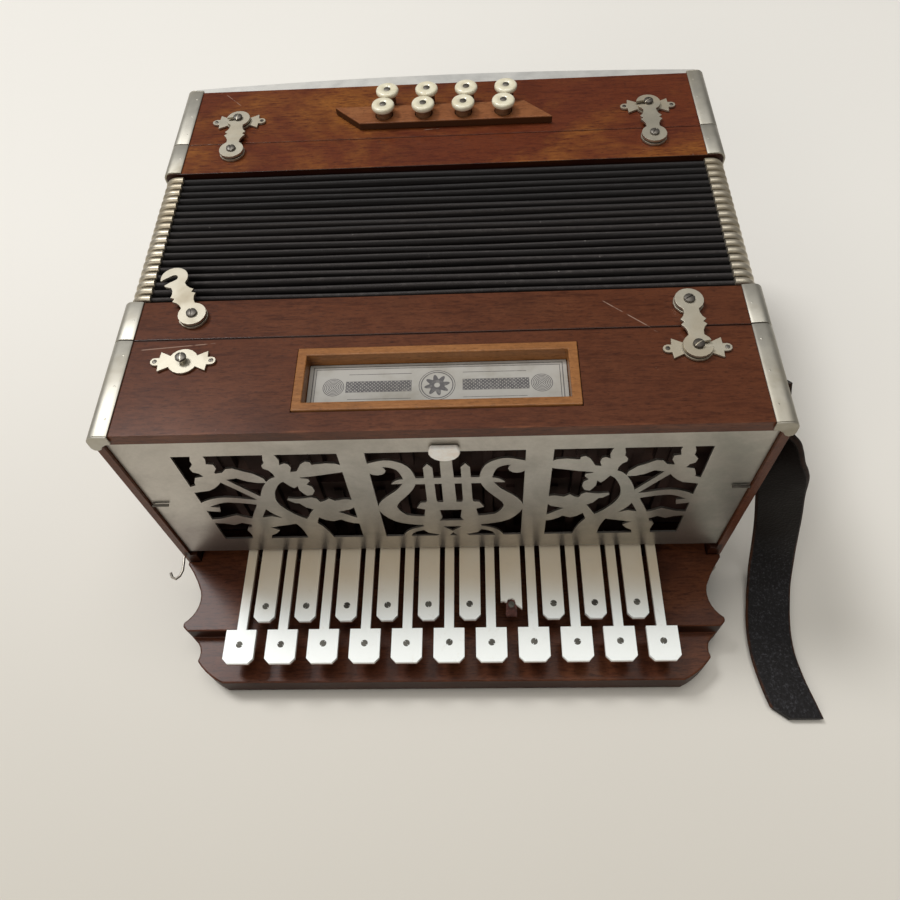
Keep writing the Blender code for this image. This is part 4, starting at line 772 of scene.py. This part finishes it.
HEAD_HEIGHT = 0.0011
RIVET_R = 0.00245
PIN_HEAD_R = 0.00240
WING_X = 0.0121
WING_TOP = 0.0013
for side, x in (("left", -LATCH_X), ("right", LATCH_X)):
    for end, pin_y, sign in (("treble", TREBLE_PIN_Y, 1), ("bass", BASS_PIN_Y, -1)):
        hook, keeper = f"{end}_hook_{side}", f"{end}_keeper_{side}"
        softened(hook, "nickel", 0.00022, angle=35.0)
        softened(keeper, "nickel", 0.00018, angle=35.0)
        pivot = (x, pin_y + sign * LATCH_REACH, TOP + HOOK_TOP + 0.0004)
        head = slotted_head(pivot, RIVET_R, HEAD_HEIGHT, turns.uniform(0, 3), 0.0006, 0.0005)
        finished(f"{hook}_rivet", head, "steel", BODY_OF[hook])
        pin = (x, pin_y, TOP + PIN_TOP + 0.0003)
        head = slotted_head(pin, PIN_HEAD_R, HEAD_HEIGHT, turns.uniform(0, 3), 0.0006, 0.0005)
        finished(f"{keeper}_pin_head", head, "steel", BODY_OF[keeper])
        screws = []
        for wing in (-1, 1):
            place = (x + wing * WING_X, pin_y, TOP + WING_TOP)
            screws.append(slotted_head(place, 0.00105, 0.0003, turns.uniform(0, 3), 0.0003, 0.0002))
        finished(f"{keeper}_screws", joined(screws), "steel", BODY_OF[keeper])


# Bass buttons


def button_places():
    """The (x, y) of each button: two rows of four, as (y, shift along X)."""
    rows = ((0.0130, 0.0), (0.0254, 0.0016))
    return [(0.0015 + shift + (i - 1.5) * KEY_PITCH, BASS_Y + y) for y, shift in rows for i in range(4)]


# Profiles as (radius, height above the case)
DISC = (
    (0, 0.0079),
    (0.0046, 0.0079),
    (0.0054, 0.0081),
    (0.0058, 0.0086),
    (0.0059, 0.0093),
    (0.0058, 0.0100),
    (0.0055, 0.0105),
    (0.0049, 0.0108),
    (0.0038, 0.0109),
    (0.0021, 0.0108),
    (0.0019, 0.0105),
    (0, 0.0105),
)
STEM = (
    (0, -0.0125),
    (0.0040, -0.0125),
    (0.0042, -0.0120),
    (0.0041, 0.0050),
    (0.0037, 0.0074),
    (0.0037, 0.0080),
    (0, 0.0080),
)
PIN = ((0, 0.0104), (0.0017, 0.0104), (0.0017, 0.0107), (0.0013, 0.0109), (0, 0.0110))
for number, (x, y) in enumerate(button_places(), 1):
    node = f"bass_button_{number}"
    disc = turned(DISC, (x, y, TOP))
    finished(f"{node}_disc", disc, "ivory", node, (node,), smooth=60.0)
    stem = turned(STEM, (x, y, TOP))
    finished(f"{node}_stem", stem, "stem", node, smooth=50.0)
    pin = turned(PIN, (x, y, TOP), steps=20)
    finished(f"{node}_pin", pin, "steel", node, smooth=50.0)


# Corner trims


TRIM_LEG = 0.0085
TRIM_BASE = 0.0001
TRIM_WALL = 0.0006
TRIM_CROWN = 0.0004
ARC_STEPS = 8
CAP_WALL = 0.0008
CAP_LOW_EDGE = (
    (0.0010, -0.0032),
    (0.0010, -0.0068),
    (0.0002, -0.0084),
    (-0.0014, -0.0090),
    (-0.0030, -0.0082),
    (-0.0040, -0.0064),
    (-0.0058, -0.0050),
    (-0.0085, -0.0043),
)
NAIL = ((0.0006, 0.0005), (0.0005, 0.00095), (0, 0.00115))


def corner_profile():
    """The trim's section round a corner at the origin, its legs along -X and -Z."""
    flat = TRIM_LEG - EDGE_R
    path = [((-TRIM_LEG + flat * i / 4, 0.0), (0, 1)) for i in range(5)]
    for i in range(1, ARC_STEPS):
        a = math.pi / 2 * (1 - i / ARC_STEPS)
        point = (-EDGE_R + EDGE_R * math.cos(a), -EDGE_R + EDGE_R * math.sin(a))
        path.append((point, (math.cos(a), math.sin(a))))
    path += [((0.0, -EDGE_R - flat * i / 4), (1, 0)) for i in range(5)]
    outer, inner = [], []
    for i, ((a, b), (na, nb)) in enumerate(path):
        lift = TRIM_BASE + TRIM_WALL + TRIM_CROWN * math.sin(math.pi * i / (len(path) - 1)) ** 0.5
        outer.append((a + na * lift, b + nb * lift))
        inner.append((a + na * TRIM_BASE, b + nb * TRIM_BASE))
    return outer + inner[::-1]


def cap_outline():
    """The end cap's outline: an eased corner above, and a scalloped edge below."""
    outline = [(-0.0085, 0.0007), (-0.0032, 0.0010)]
    for i in range(1, 7):
        a = math.pi / 2 * (1 - i / 7)
        outline.append((-0.0032 + 0.0042 * math.cos(a), -0.0032 + 0.0042 * math.sin(a)))
    return outline + list(CAP_LOW_EDGE)


def corner_trim(name, body, side, up, start, end, capped):
    """An angle strip on one long edge of a box.

    Side and up are -1 or +1. Capped is -1 or +1 for the end that folds over, or 0 for neither.
    """
    parts = [bevelled(extruded(corner_profile(), start, end), 0.00022, 2, 50.0)]
    if capped:
        face = start if capped < 0 else end
        far = face + capped * CAP_WALL
        parts.append(bevelled(extruded(cap_outline(), min(face, far), max(face, far)), 0.0004, 3, 50.0))
    count = 3 if end - start > 0.03 else 1
    for i in range(count):
        y = start + (end - start) * (i + 0.5) / count
        parts.append(turned(NAIL, (-0.0062, y, 0), steps=14))
    whole = joined(parts)
    place = Vector((HALF_W, 0, TOP if up > 0 else 0))
    bmesh.ops.scale(whole, vec=(1, 1, up), verts=whole.verts)
    bmesh.ops.translate(whole, vec=place, verts=whole.verts)
    bmesh.ops.scale(whole, vec=(side, 1, 1), verts=whole.verts)
    if side * up < 0:
        bmesh.ops.reverse_faces(whole, faces=whole.faces[:])
    finished(name, whole, "trim", body, smooth=40.0)


for side, side_name in ((-1, "left"), (1, "right")):
    for up, up_name in ((1, "upper"), (-1, "lower")):
        for box_name, body, start, end, capped in (
            ("treble_case", "treble_end", FACE_Y - 0.0004, TREBLE_SEAM_Y - 0.0003, -1),
            ("treble_frame", "treble_end", TREBLE_SEAM_Y + 0.0003, BELLOWS_Y - 0.0004, 0),
            ("bass_frame", "bass_end", BASS_FRAME_Y + 0.0004, BASS_SEAM_Y - 0.0003, 0),
            ("bass_case", "bass_end", BASS_SEAM_Y + 0.0003, BASS_END_Y + 0.0004, 1),
        ):
            corner_trim(f"{box_name}_trim_{side_name}_{up_name}", body, side, up, start, end, capped)


# Bellows


def bellows_section(corner=0.006, steps=7, long_cuts=30, short_cuts=12):
    """The outline of a ridge, as points about the bellows' middle."""
    wide, high = RIDGE_X - corner, RIDGE_Z - corner
    points = []
    for cx, cz, first, cuts, following in (
        (1, -1, -90, short_cuts, (RIDGE_X, high)),
        (1, 1, 0, long_cuts, (-wide, RIDGE_Z)),
        (-1, 1, 90, short_cuts, (-RIDGE_X, -high)),
        (-1, -1, 180, long_cuts, (wide, -RIDGE_Z)),
    ):
        for i in range(steps + 1):
            a = math.radians(first + 90 * i / steps)
            points.append((cx * wide + corner * math.cos(a), cz * high + corner * math.sin(a)))
        (ax, az), (bx, bz) = points[-1], following
        for i in range(1, cuts):
            points.append((ax + (bx - ax) * i / cuts, az + (bz - az) * i / cuts))
    return [(x, 0, z) for x, z in points]


# One fold from valley to valley: (share of the pitch, depth below the ridge)
RIDGE_START, RIDGE_END = 0.24, 0.76
FOLD_SHAPE = (
    (0.0, FOLD_DEPTH),
    (0.16, 0.0075),
    (RIDGE_START, 0.0030),
    (0.29, 0.0013),
    (0.36, 0.0004),
    (0.5, 0.0),
    (0.64, 0.0004),
    (0.71, 0.0013),
    (RIDGE_END, 0.0030),
    (0.84, 0.0075),
)


def bellows_lines():
    """(y, depth below the ridge) down the whole bellows."""
    lines = [(0.0, COLLAR_DEPTH), (COLLAR, COLLAR_DEPTH)]
    for fold in range(FOLDS):
        lines += [(COLLAR + (fold + share) * FOLD_PITCH, depth) for share, depth in FOLD_SHAPE]
    last = BELLOWS_L - COLLAR
    lines += [(last, FOLD_DEPTH), (last, COLLAR_DEPTH), (BELLOWS_L, COLLAR_DEPTH)]
    return [(BELLOWS_Y + y, depth) for y, depth in lines]


def hold_folds(piece):
    """Keeps each ridge whole as the bellows opens: the points of one ridge share one place on the way."""
    shares = piece.data.attributes["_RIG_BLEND"].data
    for vert, share in zip(piece.data.vertices, shares):
        place = (vert.co.y - BELLOWS_Y - COLLAR) / FOLD_PITCH
        fold = min(max(math.floor(place), 0), FOLDS - 1)
        within = place - fold
        if RIDGE_START <= within <= RIDGE_END:
            eased = 0.5
        elif within < RIDGE_START:
            eased = 0.5 * max(within, 0.0) / RIDGE_START
        else:
            eased = 0.5 + 0.5 * min((within - RIDGE_END) / RIDGE_START, 1.0)
        share.value = min(max((fold + eased) / FOLDS, 0.0), 1.0)


frames = []
for y, depth in bellows_lines():
    scale = Matrix.Diagonal((1 - depth / RIDGE_X, 1, 1 - depth / RIDGE_Z, 1))
    frames.append(Matrix.Translation((0, y, TOP / 2)) @ scale)
cloth = swept(bellows_section(), frames, caps=False)
ridge = cloth.verts.layers.float.new("ridge")
depth_of = {round(y, 7): depth for y, depth in bellows_lines()}
wander = random.Random(11)
sag = [wander.uniform(-0.00035, 0.00035) for _ in range(FOLDS + 1)]
SLACK_X = 0.118
for vert in cloth.verts:
    depth = depth_of.get(round(vert.co.y, 7), COLLAR_DEPTH)
    vert[ridge] = max(0.0, 1.0 - depth / 0.0060)
    place = (vert.co.y - BELLOWS_Y - COLLAR) / FOLD_PITCH
    if 0 < place < FOLDS and abs(vert.co.x) < SLACK_X:
        fold = int(place)
        slack = 1 - (vert.co.x / SLACK_X) ** 2
        vert.co.y += 0.00028 * math.sin(vert.co.x * 38 + fold * 1.7) * slack
        if vert.co.z > TOP / 2:
            vert.co.z += (sag[fold] - 0.0004) * slack
bellows = finished(
    "bellows_cloth", cloth, "cloth", None, ("bellows",), smooth=80.0, blend=True
)
hold_folds(bellows)

GUARD_INSET = 0.007


def corner_guard(y, reach=0.0032, radius=0.0058, wide=0.0034, tall=0.0015):
    """One ridge's metal guard round a corner at the origin, its legs along -X and -Z."""
    section = []
    for i in range(9):
        a = math.pi * i / 8
        section.append((0, wide / 2 * math.cos(a), radius + tall * math.sin(a) ** 0.8))
    section += [(0, -wide / 2, radius - 0.0006), (0, wide / 2, radius - 0.0006)]
    frames = [Matrix.Translation((-reach * (1 - i / 2), y, 0)) for i in range(2)]
    turns = [Matrix.Translation((0, y, 0)) @ Matrix.Rotation(math.pi / 2 * i / 7, 4, "Y") for i in range(8)]
    frames += turns
    frames += [Matrix.Translation((0, 0, -reach * (i + 1) / 2)) @ turns[-1] for i in range(2)]
    return swept(section, frames)


for side, side_name in ((-1, "left"), (1, "right")):
    for up, up_name in ((1, "upper"), (-1, "lower")):
        guards = []
        for fold in range(FOLDS):
            guards.append(corner_guard(BELLOWS_Y + COLLAR + (fold + 0.5) * FOLD_PITCH))
        whole = joined(guards)
        bmesh.ops.scale(whole, vec=(1, 1, up), verts=whole.verts)
        place = Vector((HALF_W - GUARD_INSET, 0, TOP - GUARD_INSET if up > 0 else GUARD_INSET))
        bmesh.ops.translate(whole, vec=place, verts=whole.verts)
        bmesh.ops.scale(whole, vec=(side, 1, 1), verts=whole.verts)
        bmesh.ops.recalc_face_normals(whole, faces=whole.faces[:])
        name = f"bellows_guards_{side_name}_{up_name}"
        piece = finished(name, whole, "guard", None, smooth=50.0, blend=True)
        hold_folds(piece)


# Straps


def along_curve(route, steps):
    """Points and width directions read evenly from a smooth curve through (point, across) pairs."""
    found = []
    ends = [route[0], *route, route[-1]]
    for k in range(len(route) - 1):
        four = [[Vector(part) for part in pair] for pair in ends[k : k + 4]]
        for i in range(steps + (k == len(route) - 2)):
            t = i / steps
            weights = (
                (-t + 2 * t * t - t**3) / 2,
                (2 - 5 * t * t + 3 * t**3) / 2,
                (t + 4 * t * t - 3 * t**3) / 2,
                (t**3 - t * t) / 2,
            )
            point = sum((w * pair[0] for w, pair in zip(weights, four)), Vector())
            across = sum((w * pair[1] for w, pair in zip(weights, four)), Vector())
            found.append((point, across))
    return found


def strap_section(width, thickness, crown=0.0003):
    """A strap's section, gently crowned, with rounded edges. Its width lies along X and its face up Z."""
    r = thickness / 2
    points = []
    for side in (1, -1):
        for i in range(5):
            a = side * math.pi / 2 - math.pi * i / 4
            points.append((side * (width / 2 - r) + r * math.cos(a), r * math.sin(a)))
        for share in (0.5, 0.0, -0.5):
            lift = crown * (1 - share**2)
            points.append((side * share * (width - 2 * r), -side * (r + lift)))
    return [(x, 0, z) for x, z in points]


def strap_frames(line):
    """A matrix for each point of the line: width along X, forward along Y, face along Z."""
    frames = []
    for i, (point, across) in enumerate(line):
        before, after = line[max(i - 1, 0)][0], line[min(i + 1, len(line) - 1)][0]
        forward = (after - before).normalized()
        wide = Vector(across)
        wide = (wide - forward * wide.dot(forward)).normalized()
        up = wide.cross(forward)
        turn = Matrix((wide, forward, up)).transposed().to_4x4()
        frames.append(Matrix.Translation(point) @ turn)
    return frames


SHOULDER_W, SHOULDER_T = 0.0225, 0.0026
STRAP_CUT_Y = -0.1030
wall, floor_z = HALF_W + 0.0003 + SHOULDER_T / 2, SHOULDER_T / 2 + 0.0003
# Down the wall: (mm out, mm along, share of the stud's height), then the direction of the width
hanging = (
    ((0.0, 6, 1.055), (0, -1, 0.15)),
    ((0.0, 0, 1.0), (0, -1, 0.15)),
    ((0.0, -4, 0.955), (0.04, -1, 0.14)),
    ((3.4, -8, 0.9), (0.40, -0.92, 0.05)),
    ((7.2, -11, 0.8), (0.66, -0.75, 0)),
    ((10.6, -13, 0.72), (0.88, -0.45, 0.03)),
    ((13.2, -14, 0.64), (0.96, -0.2, 0.05)),
    ((16.4, -15, 0.531), (0.97, 0, 0.2)),
    ((20.4, -17, 0.391), (1, 0, 0.12)),
    ((23.9, -19, 0.25), (0.97, 0, 0.22)),
    ((26.4, -23, 0.117), (0.96, 0, 0.28)),
)
# On the floor: (mm out, mm along, mm up), then the direction of the width
lying = (
    ((26.4, -31, 3.2), (1, 0, 0.05)),
    ((24.4, -42, 0.4), (1, 0.1, 0)),
    ((21.9, -56, 0), (1, 0.1, 0)),
    ((21.4, -70, 0), (1, 0, 0)),
    ((23.4, -84, 0), (1, -0.2, 0)),
    ((26.6, -97, 0), (1, -0.35, 0)),
    ((30.0, -111, 0), (1, -0.35, 0)),
)
route = [((wall + out * MM, STUD_Y + along * MM, STUD_Z * share), w) for (out, along, share), w in hanging]
route += [((wall + out * MM, STUD_Y + along * MM, floor_z + rise * MM), w) for (out, along, rise), w in lying]
line = []
for point, across in along_curve(route, 8):
    inner_edge = (SHOULDER_W * abs(across.normalized().x) + SHOULDER_T) / 2
    line.append((Vector((max(point.x, HALF_W + 0.0006 + inner_edge), point.y, point.z)), across))
strap = swept(strap_section(SHOULDER_W, SHOULDER_T), strap_frames(line))


def cut_off(mesh, point, outward):
    """Cuts away what lies beyond a plane and closes the hole. Returns the points of the cut."""
    whole = mesh.verts[:] + mesh.edges[:] + mesh.faces[:]
    result = bmesh.ops.bisect_plane(mesh, geom=whole, plane_co=point, plane_no=outward, clear_outer=True)
    cut = result["geom_cut"]
    bmesh.ops.holes_fill(mesh, edges=edges_of(cut), sides=0)
    return [vert.co.copy() for vert in verts_of(cut)]


# The far end is cut straight across, with its inner corner taken off
end_points = cut_off(strap, (0, STRAP_CUT_Y, 0), (0, -1, 0))
corner_x = min(point.x for point in end_points)
cut_off(strap, (corner_x + 0.0068, STRAP_CUT_Y, 0), (-0.6, -0.8, 0))
finished(
    "shoulder_strap_leather",
    strap,
    "shoulder",
    "treble_end",
    ("shoulder_strap",),
    smooth=60.0,
)

stud_x = HALF_W + SHOULDER_T + 0.0012
dome = [(0, -0.0030), (0.0022, -0.0030), (0.0022, 0), (0.0055, 0), (0.0053, 0.0007), (0.0045, 0.0014)]
dome += [(0.0030, 0.0020), (0.0012, 0.0022), (0, 0.00225)]
stud = turned(dome, (stud_x, STUD_Y, STUD_Z), axis=(1, 0, 0))
finished("strap_stud_dome", stud, "nickel", "treble_end", ("strap_stud",), smooth=50.0)


def end_face(x):
    """The y of the domed end cover's face, with a little room."""
    return BASS_END_Y + 0.0006 + (0.0045 + 0.0048 * (1 - (x / (HALF_W - 0.003)) ** 2))


HAND_W, HAND_T, HAND_RISE = 0.036, 0.003, 0.040
span, foot, steps = 0.116, 0.018, 56
line = []
for i in range(steps + 1):
    x = -span + 2 * span * i / steps
    arch = max(0.0, 1 - (abs(x) / (span - foot)) ** 2) ** 0.8
    line.append((Vector((x, end_face(x) + HAND_T / 2 + HAND_RISE * arch, TOP / 2)), Vector((0, 0, 1))))
strap = swept(strap_section(HAND_W, HAND_T), strap_frames(line))
finished("hand_strap_leather", strap, "hand", "bass_end", ("hand_strap",), smooth=60.0)
for side, side_name in ((-1, "left"), (1, "right")):
    x = side * (span - 0.008)
    y = end_face(x) + HAND_T
    holder = block((x - 0.0055, y - 0.0004, TOP / 2 - 0.0190), (x + 0.0055, y + 0.0009, TOP / 2 + 0.0190))
    bevelled(holder, 0.0006, 3)
    finished(f"hand_strap_plate_{side_name}", holder, "nickel", "bass_end", smooth=40.0)
    heads = []
    for lift in (-0.0125, 0.0, 0.0125):
        centre = (x, y + 0.0009, TOP / 2 + lift)
        heads.append(slotted_head(centre, 0.0021, 0.0009, lift * 90, 0.0005, 0.0004, axis=(0, 1, 0)))
    finished(f"hand_strap_screws_{side_name}", joined(heads), "steel", "bass_end", smooth=40.0)

softened("air_button", "nickel", 0.0004, segments=3)


# Floor, lights and camera

FLOOR_Z = -0.0012
floor_mesh = bmesh.new()
bmesh.ops.create_grid(floor_mesh, x_segments=8, y_segments=8, size=3.0)
floor_data = bpy.data.meshes.new("floor")
floor_mesh.to_mesh(floor_data)
floor_mesh.free()
floor = bpy.data.objects.new("floor", floor_data)
floor.location = (0, 0, FLOOR_Z)
bpy.context.scene.collection.objects.link(floor)
ground = Finish("floor_paint", roughness=0.85)
# The floor is darker towards the front; to the right it is painted lighter, as painted light that offsets the
# shadow the window lamp casts there
depth = ground.y.rise(-0.42, 0.30)
tone = ground.mixed((0.60, 0.560, 0.485), (0.87, 0.845, 0.790), depth)
tone = ground.mixed(tone, (0.96, 0.93, 0.87), ground.x.rise(0.05, 0.65) * 0.6)
ground.colour(ground.shaded(tone, 0.985 + ground.noise(3.0, 3.0) * 0.03))
floor_data.materials.append(ground.material)


def softbox(name, place, aim, size, power, colour):
    """A rectangular lamp turned towards a point."""
    lamp = bpy.data.lights.new(name, "AREA")
    lamp.shape = "RECTANGLE"
    lamp.size, lamp.size_y = size
    lamp.energy = power
    lamp.color = colour
    made = bpy.data.objects.new(name, lamp)
    made.location = place
    made.rotation_euler = (Vector(aim) - Vector(place)).to_track_quat("-Z", "Y").to_euler()
    bpy.context.scene.collection.objects.link(made)


softbox("window", (-1.25, 0.88, 2.65), (0, 0.05, 0.05), (0.7, 0.7), 44.0, (0.985, 0.99, 1.0))
softbox("ceiling", (0.15, 0.35, 3.00), (0, 0.0, 0.05), (1.8, 1.8), 33.0, (1.0, 0.985, 0.955))
softbox("front", (-1.20, -2.40, 1.60), (0, 0, 0.05), (2.0, 1.4), 26.0, (1.0, 0.97, 0.92))

world = bpy.data.worlds.new("studio")
world.use_nodes = True
sky = world.node_tree.nodes["Background"]
sky.inputs["Color"].default_value = (0.92, 0.90, 0.86, 1.0)
sky.inputs["Strength"].default_value = 0.12
bpy.context.scene.world = world

camera_data = bpy.data.cameras.new("camera")
camera_data.lens = 31.19
camera_data.sensor_width = 36.0
camera_data.clip_start = 0.01
camera = bpy.data.objects.new("camera", camera_data)
camera.rotation_euler = (0.555, 0.0491, 0.0061)
camera.location = (0.0194, -0.1924, 0.4001)
bpy.context.scene.collection.objects.link(camera)
bpy.context.scene.camera = camera
bpy.context.scene.view_settings.view_transform = "Standard"

bpy.context.view_layer.update()
